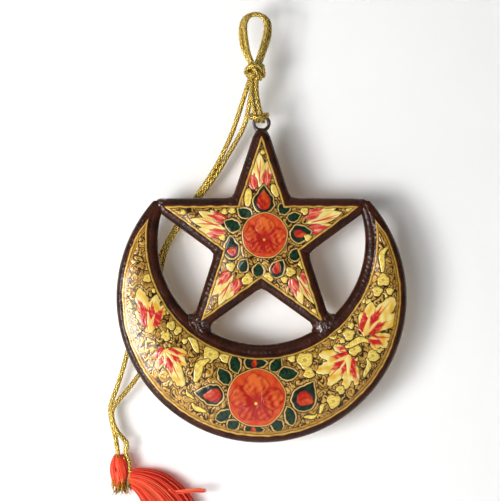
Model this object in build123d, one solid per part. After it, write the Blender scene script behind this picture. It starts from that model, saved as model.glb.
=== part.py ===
from build123d import *
import os
from math import acos, atan2, cos, degrees, pi, radians, sin, sqrt, tan, tanh

# Eid crescent ornament: paper-pulp crescent and star on a gold cord with a thread tassel.
# Millimetres, Z up, the painted front faces -Y. The origin is the hanging point in the cord loop.

# Cord
CORD_DIAMETER = 1.7
STRAND_GAP = 0.04

# Wire eye on the star's upper point
EYE_X = 1.6
EYE_Z = -34.6
EYE_WIRE = 0.9
EYE_SLACK = 0.36
EYE_CLEARANCE = 0.12
EYE_SEAT = 0.4
EYE_LEG_LENGTH = 9.0
EYE_LEG_GAP = 0.1
EYE_FIT = 0.04

# Crescent
OUTER_RADIUS = 50.9
INNER_RADIUS = 36.5
HORN_OVERLAP = 5.5
CRESCENT_WALL_HEIGHT = 2.0
CRESCENT_BEVEL_HEIGHT = 1.8
INNER_RIM = 3.2
OUTER_RIM = 2.3
CROWN_SHARE = 0.08
CRESCENT_SHELL = 1.6
HORN_SETBACK_ANGLE = 6.0
CAVITY_SETBACK_ANGLE = 30.0
SECTION_COUNT = 17

# Star
STAR_RISE = 1.0
STAR_BITE = 0.3
STAR_NOTCH_RATIO = 0.387
STAR_TIP_ROUND = 3.3
STAR_FACE_SCALE = 0.798
STAR_FACE_TIP_ROUND = 0.35
STAR_WALL_HEIGHT = 2.0
STAR_BEVEL_HEIGHT = 1.7
STAR_DOME = 0.9
STAR_SHELL = 1.8
STAR_CAVITY_RADIUS = 24.0
HORN_STEP = 0.8
GLUE_GAP = 0.05
BEAD_REACH = 2.7
BEAD_HEIGHT = 1.7
BEAD_SETBACK = 0.9

# Knot under the loop
KNOT_X = -0.9
KNOT_TOP = -13.2
KNOT_BOTTOM = -19.4
KNOT_CORE_RADIUS = 2.2
KNOT_WRAP_RADIUS = 2.5
KNOT_WRAP_PITCH = 2.15
KNOT_WRAP_TURNS = 1.75

# Tassel
TASSEL_X = -47.9
TASSEL_Y = 8.05
TASSEL_Z = -151.3
SWING_GAP = 0.15
HEAD_X = -48.8
HEAD_WIDTH = 6.4
HEAD_HEIGHT = 12.0
HEAD_END_WIDTH = 2.6
FRAY_LENGTH = 3.2
FRAY_WIDTH = 0.34
FRAY_COUNT = 11
LOCK_DIAMETER = 1.6
LOCK_LENGTH = 16.6
SKIRT_ROOT = 2.7
SKIRT_ROOT_DROP = 8.55
SKIRT_THROW = 19.6
SKIRT_DROP = 29.7
SKIRT_WIDTH = 18.2
SKIRT_DEPTH = 7.4

# Sizes that follow
cord_radius = CORD_DIAMETER / 2
wire_radius = EYE_WIRE / 2
strand_offset = cord_radius + STRAND_GAP / 2
eye_hole = strand_offset + cord_radius + EYE_CLEARANCE + EYE_SLACK
eye_ring = eye_hole + wire_radius
in_eye = eye_hole - cord_radius - EYE_CLEARANCE
hitch_drop = in_eye - sqrt(in_eye ** 2 - strand_offset ** 2)
hitch_turn = wire_radius + EYE_CLEARANCE + cord_radius + hitch_drop

tip_half_angle = atan2(STAR_NOTCH_RATIO * sin(pi / 5), 1 - STAR_NOTCH_RATIO * cos(pi / 5))
low_tip_sine = sin(radians(54))
contact_radius = INNER_RADIUS + STAR_BITE
star_reach = STAR_RISE * low_tip_sine
star_reach = star_reach + sqrt(contact_radius ** 2 - (STAR_RISE * cos(radians(54))) ** 2)
star_radius = star_reach - STAR_TIP_ROUND + STAR_TIP_ROUND / sin(tip_half_angle)
star_top = EYE_Z - eye_ring - wire_radius + EYE_SEAT
star_z = star_top - star_reach
inner_z = star_z - STAR_RISE
centre_offset = OUTER_RADIUS - INNER_RADIUS + HORN_OVERLAP
outer_z = inner_z - centre_offset
star_half = STAR_WALL_HEIGHT + STAR_BEVEL_HEIGHT
deep = 20.0
meeting_cosine = (INNER_RADIUS ** 2 + centre_offset ** 2 - OUTER_RADIUS ** 2) / (2 * INNER_RADIUS * centre_offset)
meeting_angle = degrees(acos(meeting_cosine))
crescent_half_angle = meeting_angle - HORN_SETBACK_ANGLE
cavity_half_angle = meeting_angle - CAVITY_SETBACK_ANGLE

os.makedirs("parts", exist_ok=True)


def save(shape, name):
    shape.label = name
    export_step(shape, "parts/" + name + ".step")
    boxed = shape.bounding_box()
    print(name, "solids", len(shape.solids()), "volume", round(shape.volume, 3), boxed.min, boxed.max)


def route(points):
    """Straight runs joined by tangent arcs that take 0.45 of the shorter run beside each corner."""
    corners = []
    for before, here, after in zip(points, points[1:], points[2:]):
        run_in = Vector(*here) - Vector(*before)
        run_out = Vector(*after) - Vector(*here)
        turn = radians(run_in.get_angle(run_out))
        shorter = min(run_in.length, run_out.length)
        corners.append(0.45 * shorter / tan(turn / 2))
    return FilletPolyline(*points, radius=corners), corners


def tube(path, radius):
    """Round strand swept along a path from its start."""
    start = Plane(origin=path @ 0, z_dir=path % 0)
    return sweep(start * Circle(radius), path=path)


def strand(points, radius, name):
    path, corners = route(points)
    body = tube(path, radius)
    ideal = pi * radius ** 2 * path.length
    print(name, "length", round(path.length, 2), "least bend", round(min(corners), 2),
          "volume ratio", round(body.volume / ideal, 4))
    return body


def star_sketch(scale, tip_round):
    """Five-pointed star in the XZ plane about its own centre, its points rounded."""
    corners = []
    for index in range(10):
        reach = star_radius * scale
        if index % 2 == 1:
            reach = reach * STAR_NOTCH_RATIO
        angle = radians(90 + 36 * index)
        corners.append((reach * cos(angle), reach * sin(angle)))
    flat = make_face(Polyline(*corners, close=True))
    if tip_round > 0:
        points = flat.vertices().sort_by(lambda vertex: Vector(*vertex.center()).length)[-5:]
        flat = fillet(points, tip_round)
    return Plane.XZ * flat


def to_star(shape):
    return Pos(EYE_X, 0, star_z) * shape


# Star halves
outline = star_sketch(1.0, STAR_TIP_ROUND)
full_rise = STAR_BEVEL_HEIGHT + STAR_DOME + 0.4
scale_at_top = 1 - (1 - STAR_FACE_SCALE) * full_rise / STAR_BEVEL_HEIGHT
round_at_top = STAR_FACE_TIP_ROUND
star_block = extrude(outline, STAR_WALL_HEIGHT)
low_face = Pos(0, -STAR_WALL_HEIGHT, 0) * outline
high_face = Pos(0, -STAR_WALL_HEIGHT - full_rise, 0) * star_sketch(scale_at_top, round_at_top)
star_block = star_block + loft([low_face, high_face], ruled=True)
face_reach = star_radius * STAR_FACE_SCALE
dome_radius = (face_reach ** 2 + STAR_DOME ** 2) / (2 * STAR_DOME)
dome = Pos(0, dome_radius - star_half - STAR_DOME, 0) * Sphere(dome_radius)
star_block = star_block & dome
apothem = star_radius * STAR_NOTCH_RATIO * sin(pi / 5)
apothem = apothem / sqrt(1 + STAR_NOTCH_RATIO ** 2 - 2 * STAR_NOTCH_RATIO * cos(pi / 5))
cavity_scale = (apothem - STAR_SHELL) / apothem
cavity_height = star_half - STAR_SHELL
cavity_top_scale = cavity_scale * STAR_FACE_SCALE
cavity_low = Pos(0, 1, 0) * star_sketch(cavity_scale, 0)
cavity_high = Pos(0, -cavity_height, 0) * star_sketch(cavity_top_scale, 0)
star_cavity = loft([cavity_low, cavity_high], ruled=True)
star_cavity = star_cavity & (Rot(90, 0, 0) * Cylinder(STAR_CAVITY_RADIUS, deep))
star_half_hollow = to_star(star_block - star_cavity)

# Wire eye: a ring with two legs side by side
leg_offset = wire_radius + EYE_LEG_GAP / 2
ring = Pos(EYE_X, 0, EYE_Z) * Rot(90, 0, 0) * Torus(eye_ring, wire_radius)
ring_room = Pos(EYE_X, 0, EYE_Z) * Rot(90, 0, 0) * Torus(eye_ring, wire_radius + EYE_FIT)
leg_top = EYE_Z - sqrt(eye_ring ** 2 - leg_offset ** 2)
leg_span = leg_top - (star_top - EYE_LEG_LENGTH)
eye = ring
eye_room = ring_room
for side in (-1, 1):
    leg_place = Pos(EYE_X + side * leg_offset, 0, leg_top - leg_span / 2)
    eye = eye + leg_place * Cylinder(wire_radius, leg_span)
    eye_room = eye_room + leg_place * Pos(0, 0, -EYE_FIT / 2) * Cylinder(wire_radius + EYE_FIT, leg_span + EYE_FIT)
star_front = star_half_hollow - eye_room
star_back = mirror(star_half_hollow, about=Plane.XZ) - eye_room

save(star_front, "star_front_shell")
save(star_back, "star_back_shell")
save(eye, "hanging_eye")


# Crescent halves: sections on rays from the inner circle's centre, lofted from horn to horn
def section_plane(angle):
    return Plane(
        origin=(EYE_X, 0, inner_z),
        x_dir=(sin(angle), 0, -cos(angle)),
        z_dir=(-cos(angle), 0, -sin(angle)),
    )


def ray_to_outer(angle):
    """Distance from the inner circle's centre to the outer circle along a ray."""
    return centre_offset * cos(angle) + sqrt(OUTER_RADIUS ** 2 - (centre_offset * sin(angle)) ** 2)


def section(angle, inset, base):
    """Closed profile: straight walls, rounded rims and a domed face, narrowed by an inset."""
    near = INNER_RADIUS
    far = ray_to_outer(angle)
    width = far - near
    share = tanh(0.9 * width / (INNER_RIM + OUTER_RIM))
    rim_in = INNER_RIM * share
    rim_out = OUTER_RIM * share
    face_width = width - rim_in - rim_out
    wall_top = CRESCENT_WALL_HEIGHT - 0.6 * inset
    face_top = CRESCENT_WALL_HEIGHT + CRESCENT_BEVEL_HEIGHT * share - inset
    crown = CROWN_SHARE * face_width
    a = (near + inset, base)
    b = (near + inset, wall_top)
    c = (near + inset + 0.75 * rim_in, face_top) if inset > 0 else (near + rim_in, face_top)
    d = (far - inset - 0.75 * rim_out, face_top) if inset > 0 else (far - rim_out, face_top)
    e = (far - inset, wall_top)
    f = (far - inset, base)
    bulge = 0.16
    rise = face_top - wall_top
    mid_bc = ((b[0] + c[0]) / 2 - bulge * rise, (b[1] + c[1]) / 2 + bulge * (c[0] - b[0]))
    mid_de = ((d[0] + e[0]) / 2 + bulge * rise, (d[1] + e[1]) / 2 + bulge * (e[0] - d[0]))
    mid_cd = ((c[0] + d[0]) / 2, face_top + crown)
    edges = [
        Line(a, b),
        ThreePointArc(b, mid_bc, c),
        ThreePointArc(c, mid_cd, d),
        ThreePointArc(d, mid_de, e),
        Line(e, f),
        Line(f, a),
    ]
    return section_plane(angle) * make_face(edges)


def crescent_loft(half_angle, inset, base):
    sections = []
    for index in range(SECTION_COUNT):
        angle = radians(-half_angle + 2 * half_angle * index / (SECTION_COUNT - 1))
        sections.append(section(angle, inset, base))
    return loft(sections)


horn_top = star_z + star_radius * sin(radians(18)) - HORN_STEP
above_horns = Pos(EYE_X, 0, horn_top + OUTER_RADIUS) * Box(4 * OUTER_RADIUS, 2 * deep, 2 * OUTER_RADIUS)
glue_scale = (apothem + GLUE_GAP) / apothem
star_cutter = to_star(Pos(0, deep, 0) * extrude(star_sketch(glue_scale, STAR_TIP_ROUND * glue_scale), 2 * deep))
crescent_block = crescent_loft(crescent_half_angle, 0, 0)
crescent_cavity = crescent_loft(cavity_half_angle, CRESCENT_SHELL, -1)
crescent_front = crescent_block - crescent_cavity - above_horns - star_cutter
crescent_front = crescent_front.solids().sort_by(lambda solid: solid.volume)[-1]
crescent_back = mirror(crescent_front, about=Plane.XZ)
save(crescent_front, "crescent_front_shell")
save(crescent_back, "crescent_back_shell")

# Glue beads in the corners between the star's points and the crescent's inner wall
star_area = Pos(EYE_X, 0, star_z) * star_sketch(1.0, STAR_TIP_ROUND)
disc_area = Pos(EYE_X, 0, inner_z) * (Plane.XZ * Circle(INNER_RADIUS))
free_area = disc_area - star_area
free_prism = Pos(0, deep, 0) * extrude(free_area, 2 * deep)
beads = []
for angle in (-54, -126, 18, 162):
    reach = star_reach - BEAD_SETBACK
    spot = (EYE_X + reach * cos(radians(angle)), 0, star_z + reach * sin(radians(angle)))
    blob = Pos(*spot) * scale(Sphere(BEAD_REACH), by=(1, BEAD_HEIGHT / BEAD_REACH, 1))
    for piece in (blob & free_prism).solids():
        if angle < 0 or piece.center().Z < spot[2]:
            beads.append(piece)
save(Compound(children=beads), "glue_beads")

# Cord: loop strands
rear_y = strand_offset + 0.08
front_y = -rear_y
loop_rear = strand([
    (-2.3, rear_y, KNOT_TOP),
    (-3.7, rear_y, -10.8),
    (-5.2, rear_y, -7.4),
    (-5.75, rear_y, -2.6),
    (-5.2, rear_y, 1.6),
    (-2.6, rear_y, 3.75),
    (1.4, rear_y, 3.75),
    (4.1, rear_y, 1.7),
    (4.6, rear_y, -2.0),
    (3.8, rear_y, -5.9),
    (2.4, rear_y, -9.6),
    (1.1, rear_y, KNOT_TOP),
], cord_radius, "hanging_loop_rear")
save(loop_rear, "hanging_loop_rear")
loop_front = strand([
    (-1.75, front_y, KNOT_TOP),
    (-3.1, front_y, -10.2),
    (-3.7, front_y, -6.4),
    (-4.3, front_y, -2.4),
    (-4.2, front_y, 1.2),
    (-2.2, front_y, 3.7),
    (1.2, front_y, 3.7),
    (3.3, front_y, 1.3),
    (3.3, front_y, -2.2),
    (2.3, front_y, -6.3),
    (1.2, front_y, -9.8),
    (0.05, front_y, KNOT_TOP),
], cord_radius, "hanging_loop_front")
save(loop_front, "hanging_loop_front")


# Knot: a bundle with a slanting wrap of nearly two turns
def arc_pair(start, start_way, end, end_way):
    """Two tangent arcs from one point and direction to another."""
    gap = end - start
    sum_way = start_way + end_way
    spread = 2 * (1 - start_way.dot(end_way))
    along = gap.dot(sum_way)
    reach = (sqrt(along ** 2 + spread * gap.dot(gap)) - along) / spread
    first = start + start_way * reach
    last = end - end_way * reach
    middle = (first + last) / 2
    return [TangentArc(start, middle, tangent=start_way), TangentArc(middle, end, tangent=last - first)]


def helix_path(radius, pitch, turns, first_angle):
    """Screw-shaped path about the Z axis, made of tangent arcs of a quarter turn."""
    steps = round(turns * 4)
    spots = []
    ways = []
    for index in range(steps + 1):
        angle = first_angle + index * pi / 2
        spots.append(Vector(radius * cos(angle), radius * sin(angle), pitch * (index / 4 - turns / 2)))
        ways.append(Vector(-radius * sin(angle), radius * cos(angle), pitch / (2 * pi)).normalized())
    edges = []
    for index in range(steps):
        edges = edges + arc_pair(spots[index], ways[index], spots[index + 1], ways[index + 1])
    return Wire(edges)


knot_middle = (KNOT_TOP + KNOT_BOTTOM) / 2
knot_height = KNOT_TOP - KNOT_BOTTOM
wrap_path = helix_path(KNOT_WRAP_RADIUS, KNOT_WRAP_PITCH, KNOT_WRAP_TURNS, radians(-20))
wrap = tube(wrap_path, cord_radius)
wrap = wrap + Pos(*(wrap_path @ 0)) * Sphere(cord_radius) + Pos(*(wrap_path @ 1)) * Sphere(cord_radius)
core = Cylinder(KNOT_CORE_RADIUS, knot_height)
core = fillet(core.edges().filter_by(GeomType.CIRCLE), 0.35)
print("knot wrap gap", round(KNOT_WRAP_PITCH - CORD_DIAMETER, 3))
knot = Pos(KNOT_X, 0, knot_middle) * (core + Rot(0, 12, 0) * wrap)

# Stems and cow hitch on the eye, one unbroken strand
stem_y = -strand_offset - 0.12
bar_top = EYE_Z + eye_ring
bar_front = hitch_turn + CORD_DIAMETER + STRAND_GAP
bar_side = 2 * strand_offset + cord_radius + 0.2
bar_z = bar_top + 0.9
left_side = [
    (KNOT_X - strand_offset, stem_y, KNOT_BOTTOM),
    (KNOT_X - strand_offset + 0.5, stem_y - 0.2, KNOT_BOTTOM - 4.0),
    (EYE_X - strand_offset, -hitch_turn, bar_top + 3.6),
]
left_fold = [
    (EYE_X - strand_offset, -hitch_turn, bar_top - hitch_turn),
    (EYE_X - strand_offset, hitch_turn, bar_top - hitch_turn),
    (EYE_X - strand_offset, hitch_turn, bar_z - 0.5),
    (EYE_X - bar_side, hitch_turn * 0.8, bar_z),
    (EYE_X - bar_side, -bar_front, bar_z),
]
right_side = [
    (KNOT_X + strand_offset, stem_y, KNOT_BOTTOM),
    (KNOT_X + strand_offset + 0.5, stem_y - 0.2, KNOT_BOTTOM - 4.0),
    (EYE_X + strand_offset, -hitch_turn, bar_top + 3.6),
]
right_fold = []
for spot in left_fold:
    right_fold.append((2 * EYE_X - spot[0], spot[1], spot[2]))
hitch = strand(left_side + left_fold + right_fold[::-1] + right_side[::-1], cord_radius, "eye_hitch")
save(hitch, "eye_hitch")

# Tails behind the star and the crescent's left limb
tail_end = TASSEL_Z + SWING_GAP + cord_radius
tail_long = strand([
    (-2.6, 1.0, KNOT_BOTTOM),
    (-4.71, 1.8, -25.45),
    (-6.94, 3.2, -32.22),
    (-9.47, 4.6, -38.82),
    (-12.5, 5.4, -45.15),
    (-16.1, 6.2, -51.44),
    (-21.54, 7.4, -58.64),
    (-29.66, 8.0, -70.08),
    (-34.53, 8.2, -78.69),
    (-40.01, 8.4, -94.71),
    (-45.9, 8.6, -112.76),
    (-47.84, 8.8, -120.78),
    (-50.08, 8.9, -127.79),
    (-51.9, 8.95, -132.36),
    (-52.61, 8.9, -135.8),
    (-51.9, 8.8, -140.46),
    (-50.56, 8.4, -145.5),
    (-49.4, TASSEL_Y, tail_end),
], cord_radius, "tail_cord_long")
tail_long = tail_long + Pos(-49.4, TASSEL_Y, tail_end) * Sphere(cord_radius)
save(tail_long, "tail_cord_long")
tail_short = strand([
    (-0.75, 1.0, KNOT_BOTTOM),
    (-2.0, 1.5, -23.66),
    (-2.95, 2.4, -29.14),
    (-3.91, 3.8, -34.11),
    (-6.24, 5.0, -39.1),
    (-9.68, 5.6, -44.83),
    (-14.54, 6.2, -52.6),
    (-19.91, 6.9, -59.77),
    (-28.03, 7.8, -71.09),
    (-32.7, 8.0, -79.5),
    (-35.14, 8.2, -93.19),
    (-36.46, 8.2, -105.76),
    (-38.48, 8.0, -115.48),
    (-41.9, 7.6, -122.45),
    (-46.14, 7.2, -127.9),
    (-49.78, 7.1, -132.05),
    (-51.5, 7.05, -135.69),
    (-50.89, 7.0, -140.44),
    (-49.28, 7.2, -144.4),
    (-47.48, 7.6, -147.47),
    (-46.4, TASSEL_Y, tail_end),
], cord_radius, "tail_cord_short")
tail_short = tail_short + Pos(-46.4, TASSEL_Y, tail_end) * Sphere(cord_radius)
save(tail_short, "tail_cord_short")
knot = knot - loop_rear - loop_front - hitch - tail_long - tail_short
knot = knot.solids().sort_by(lambda solid: solid.volume)[-1]
save(knot, "loop_knot")

# Tassel head: a wound thread knot, slimmer at its ends
head_top = TASSEL_Z - SWING_GAP
head_low = head_top - HEAD_HEIGHT
head_mid = (head_top + head_low) / 2
profile = make_face([
    Line((0, head_low), (HEAD_END_WIDTH / 2, head_low)),
    ThreePointArc((HEAD_END_WIDTH / 2, head_low), (HEAD_WIDTH / 2, head_mid), (HEAD_END_WIDTH / 2, head_top)),
    Line((HEAD_END_WIDTH / 2, head_top), (0, head_top)),
    Line((0, head_top), (0, head_low)),
])
head = revolve(Plane.XZ * profile, Axis.Z)
head = Pos(HEAD_X, TASSEL_Y, 0) * head

# Gold cord end along the head's right side
side_end = strand([
    (-46.4, TASSEL_Y, head_top - cord_radius),
    (-45.2, TASSEL_Y - 0.4, head_top - 3.6),
    (-44.8, TASSEL_Y - 1.0, head_top - 7.4),
    (-45.6, TASSEL_Y - 1.8, head_top - 10.8),
], cord_radius, "cord_end_side")
side_end = side_end + Pos(-46.4, TASSEL_Y, head_top - cord_radius) * Sphere(cord_radius)
head = head - side_end
save(head, "tassel_head")
save(side_end, "cord_end_side")


# Skirt: thread bundle lofted through ovals along its bend
def oval(centre, way, half_tall, half_deep):
    tilt = Vector(*way).normalized()
    place = Plane(origin=centre, x_dir=(0, 1, 0), z_dir=(tilt.X, tilt.Y, tilt.Z))
    return place * Ellipse(half_deep, half_tall)


skirt_x = HEAD_X + SKIRT_ROOT
skirt_z = head_top - SKIRT_ROOT_DROP
skirt_sections = []
for bend, tall_share, deep_share in (
    (0.0, 0.34, 0.6),
    (0.2, 0.47, 0.73),
    (0.5, 0.73, 0.86),
    (0.8, 0.89, 0.95),
    (1.05, 0.98, 1.0),
    (1.3, 1.0, 0.97),
    (pi / 2, 0.95, 0.84),
):
    centre = (skirt_x + SKIRT_THROW * sin(bend), TASSEL_Y, skirt_z - SKIRT_DROP * (1 - cos(bend)))
    way = (SKIRT_THROW * cos(bend), 0, -SKIRT_DROP * sin(bend))
    skirt_sections.append(oval(centre, way, tall_share * SKIRT_WIDTH / 2, deep_share * SKIRT_DEPTH / 2))
skirt = loft(skirt_sections)
lock_x = skirt_x + 0.61 * SKIRT_THROW
lock_y = TASSEL_Y - 0.22 * SKIRT_DEPTH
lock_z = skirt_z - 0.12 * SKIRT_DROP
lock = strand([
    (lock_x, lock_y, lock_z),
    (lock_x + 0.34 * LOCK_LENGTH, lock_y - 0.6, lock_z - 1.2),
    (lock_x + 0.69 * LOCK_LENGTH, lock_y - 0.8, lock_z - 0.6),
    (lock_x + LOCK_LENGTH, lock_y - 0.6, lock_z - 0.4),
], LOCK_DIAMETER / 2, "stray_lock")
skirt = skirt - head - side_end
skirt = skirt.solids().sort_by(lambda solid: solid.volume)[-1]
lock = lock - skirt
lock = lock.solids().sort_by(lambda solid: solid.volume)[-1]
save(skirt, "tassel_skirt")
save(lock, "stray_lock")

# Frayed cut ends under the head
frays = []
for index in range(FRAY_COUNT):
    turn = 2 * pi * index / FRAY_COUNT
    ring_reach = HEAD_END_WIDTH / 2 - 0.4
    reach = ring_reach if index % 2 == 0 else ring_reach * 0.45
    lean = 14 if index % 2 == 0 else 5
    length = FRAY_LENGTH * (0.72 + 0.28 * sin(2.4 * index))
    root = Pos(HEAD_X + reach * cos(turn), TASSEL_Y + reach * sin(turn), head_low)
    tilt = Rot(lean * sin(turn), -lean * cos(turn), 0)
    thread = Pos(0, 0, -length / 2) * Box(FRAY_WIDTH, FRAY_WIDTH, length)
    frays.append(root * tilt * Pos(0, 0, -0.05) * thread)
save(Compound(children=frays), "frayed_ends")
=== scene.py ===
"""Painted crescent and star ornament on a gold cord, with a thread tassel.

Lengths inside the shape functions are millimetres and become metres when a mesh is made.
"""

import bmesh
import bpy
import numpy as np
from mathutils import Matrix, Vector


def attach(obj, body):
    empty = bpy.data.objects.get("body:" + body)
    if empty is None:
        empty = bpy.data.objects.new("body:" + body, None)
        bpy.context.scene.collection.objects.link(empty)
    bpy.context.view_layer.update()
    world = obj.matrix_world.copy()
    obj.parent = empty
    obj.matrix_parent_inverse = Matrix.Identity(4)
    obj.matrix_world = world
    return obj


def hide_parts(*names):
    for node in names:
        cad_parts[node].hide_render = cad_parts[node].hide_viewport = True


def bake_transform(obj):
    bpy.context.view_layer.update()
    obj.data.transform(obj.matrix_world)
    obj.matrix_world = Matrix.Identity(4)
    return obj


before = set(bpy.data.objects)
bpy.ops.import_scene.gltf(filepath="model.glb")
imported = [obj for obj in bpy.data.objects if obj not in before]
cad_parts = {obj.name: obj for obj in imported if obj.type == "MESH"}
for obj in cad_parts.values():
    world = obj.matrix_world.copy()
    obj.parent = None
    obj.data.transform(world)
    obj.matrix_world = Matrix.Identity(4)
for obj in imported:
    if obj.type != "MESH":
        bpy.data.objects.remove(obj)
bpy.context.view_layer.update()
MM = 0.001
TURN = 2 * np.pi
WELD_GAP = 2e-6

# Places and sizes shared with the solids
EYE_X = 1.6
EYE_Z = -34.6
STAR_Z = -74.904
INNER_Z = -75.904
OUTER_RADIUS = 50.9
INNER_RADIUS = 36.5
CENTRE_OFFSET = 19.9
HORN_TOP = -61.86
INNER_RIM = 3.2
OUTER_RIM = 2.3
CRESCENT_WALL = 2.0
CRESCENT_BEVEL = 1.8
CROWN_SHARE = 0.08
STAR_RADIUS = 44.802
STAR_NOTCH = 17.338
STAR_TIP_ROUND = 3.3
STAR_REACH = 37.604
STAR_RIM = 2.845
STAR_APOTHEM = 14.084
STAR_WALL = 2.0
STAR_BEVEL = 1.7
STAR_DOME = 0.9
CORD_RADIUS = 0.85

# Lacquer is thin on the brown rims and thick on the painted faces
LACQUER_RIM = 0.28
LACQUER_FACE = 0.8


def srgb(red, green, blue):
    """Linear colour from a paint colour given in 0 to 255."""
    value = np.array([red, green, blue]) / 255.0
    return np.where(value <= 0.04045, value / 12.92, ((value + 0.055) / 1.055) ** 2.4)


MAROON = srgb(60, 27, 13)
MAROON_DARK = srgb(34, 13, 6)
GROUND = srgb(38, 19, 6)
GOLD = srgb(188, 140, 54)
GOLD_LIGHT = srgb(216, 172, 80)
GOLD_DEEP = srgb(148, 100, 34)
TAN_LINE = srgb(212, 174, 100)
CREAM = srgb(236, 212, 106)
CREAM_DEEP = srgb(200, 158, 58)
PALE = srgb(232, 214, 134)
YELLOW = srgb(224, 172, 46)
ORANGE = srgb(206, 82, 30)
ORANGE_RED = srgb(192, 48, 22)
RED = srgb(166, 21, 14)
DARK_RED = srgb(128, 12, 10)
ROSE_RED = srgb(194, 32, 30)
PINK = srgb(200, 46, 52)
PINK_LIGHT = srgb(228, 130, 102)
GREEN = srgb(6, 26, 16)
GREEN_LIGHT = srgb(20, 64, 36)
GREEN_BLACK = srgb(14, 16, 10)


# Meshes

def grid_faces(rows, columns, flip=False, start=0):
    """Quads of a grid numbered row by row."""
    index = np.arange(rows * columns).reshape(rows, columns) + start
    quads = np.stack([index[:-1, :-1], index[1:, :-1], index[1:, 1:], index[:-1, 1:]], axis=-1).reshape(-1, 4)
    return quads[:, ::-1] if flip else quads


def ring_faces(rows, around, flip=False):
    """Quads of a tube grid whose last column joins its first."""
    index = np.arange(rows * around).reshape(rows, around)
    following = np.roll(index, -1, axis=1)
    quads = np.stack([index[:-1], index[1:], following[1:], following[:-1]], axis=-1).reshape(-1, 4)
    return quads[:, ::-1] if flip else quads


def closing_faces(rows, columns, flip=False):
    """Quads that close a grid whose rows start and end on the middle plane: a floor and two end sections.

    The floor joins the last row to the first. An end section joins each row to its partner, which lies as far
    from the other end.
    """
    left = np.arange(rows // 2)
    right = rows - 1 - left
    column = np.arange(columns)
    under = (rows - 1) * columns + column
    floor = np.stack([under[:-1], column[:-1], column[1:], under[1:]], axis=-1)
    first = np.stack([left[1:], left[:-1], right[:-1], right[1:]], axis=-1) * columns
    last = np.stack([left[:-1], left[1:], right[1:], right[:-1]], axis=-1) * columns + columns - 1
    quads = np.concatenate([floor, first, last])
    return quads[:, ::-1] if flip else quads


def fan_faces(hub, chain, points, outward):
    """Quads from one hub point to every second step of a chain, turned so that they face outward."""
    hubs = np.full(len(chain) // 2, hub)
    quads = np.stack([hubs, chain[:-2:2], chain[1:-1:2], chain[2::2]], axis=-1)
    corners = points[quads]
    normals = np.cross(corners[:, 2] - corners[:, 0], corners[:, 3] - corners[:, 1])
    facing = normals.sum(axis=0) @ np.array(outward)
    return quads[:, ::-1] if facing < 0 else quads


def make_piece(name, points, quads, material, colours=None, values=None, weld=False, flat=0):
    """Mesh object at the origin from points in millimetres and rows of four corners, the last ones flat."""
    mesh = bpy.data.meshes.new(name)
    mesh.vertices.add(len(points))
    mesh.vertices.foreach_set("co", np.ascontiguousarray(points * MM, dtype=np.float32).ravel())
    mesh.loops.add(quads.size)
    mesh.loops.foreach_set("vertex_index", np.ascontiguousarray(quads, dtype=np.int32).ravel())
    mesh.polygons.add(len(quads))
    mesh.polygons.foreach_set("loop_start", np.arange(0, quads.size, 4, dtype=np.int32))
    mesh.polygons.foreach_set("use_smooth", np.arange(len(quads)) < len(quads) - flat)
    mesh.update(calc_edges=True)
    if colours is not None:
        layer = mesh.color_attributes.new("paint", "FLOAT_COLOR", "POINT")
        rgba = np.ones((len(points), 4), dtype=np.float32)
        rgba[:, :3] = colours
        layer.data.foreach_set("color", rgba.ravel())
    for label, value in (values or {}).items():
        layer = mesh.attributes.new(label, "FLOAT", "POINT")
        layer.data.foreach_set("value", np.ascontiguousarray(value, dtype=np.float32))
    mesh.validate()
    if weld:
        worked = bmesh.new()
        worked.from_mesh(mesh)
        bmesh.ops.remove_doubles(worked, verts=worked.verts, dist=WELD_GAP)
        worked.to_mesh(mesh)
        worked.free()
    piece = bpy.data.objects.new(name, mesh)
    bpy.context.collection.objects.link(piece)
    mesh.materials.append(material)
    return piece


# Finishes

def new_finish(name):
    """Empty principled material; returns the material, its nodes, its links and the shader."""
    finish = bpy.data.materials.new(name)
    finish.use_nodes = True
    nodes = finish.node_tree.nodes
    return finish, nodes, finish.node_tree.links, nodes["Principled BSDF"]


def noise_on(nodes, links, scale, detail, rough=0.55):
    """Noise texture on the piece's own coordinates."""
    where = nodes.new("ShaderNodeTexCoord")
    texture = nodes.new("ShaderNodeTexNoise")
    texture.inputs["Scale"].default_value = scale
    texture.inputs["Detail"].default_value = detail
    texture.inputs["Roughness"].default_value = rough
    links.new(where.outputs["Object"], texture.inputs["Vector"])
    return texture


def spread(nodes, links, source, low, high, out_low, out_high):
    """Number remapped from one range to another."""
    node = nodes.new("ShaderNodeMapRange")
    node.inputs["From Min"].default_value = low
    node.inputs["From Max"].default_value = high
    node.inputs["To Min"].default_value = out_low
    node.inputs["To Max"].default_value = out_high
    links.new(source, node.inputs["Value"])
    return node.outputs["Result"]


def ramp_of(nodes, links, source, stops):
    """Colour ramp fed by a number; stops are pairs of place and linear colour."""
    node = nodes.new("ShaderNodeValToRGB")
    bar = node.color_ramp
    while len(bar.elements) < len(stops):
        bar.elements.new(0.5)
    for element, (place, colour) in zip(bar.elements, stops):
        element.position = place
        element.color = (*colour, 1.0)
    links.new(source, node.inputs["Fac"])
    return node.outputs["Color"]


def bump_from(nodes, links, shader, height, strength, distance, sockets=("Normal",)):
    """Bump whose height is a number, sent to the shader's normals."""
    node = nodes.new("ShaderNodeBump")
    node.inputs["Strength"].default_value = strength
    node.inputs["Distance"].default_value = distance
    links.new(height, node.inputs["Height"])
    for socket in sockets:
        links.new(node.outputs["Normal"], shader.inputs[socket])
    return node


def stored(nodes, label):
    """Node that reads a value kept on the piece's points."""
    node = nodes.new("ShaderNodeAttribute")
    node.attribute_name = label
    return node


def even(shader, values):
    """Numbers and colours that are the same all over a finish, set on the shader's own sockets."""
    for socket, value in values.items():
        shader.inputs[socket].default_value = value


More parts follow.
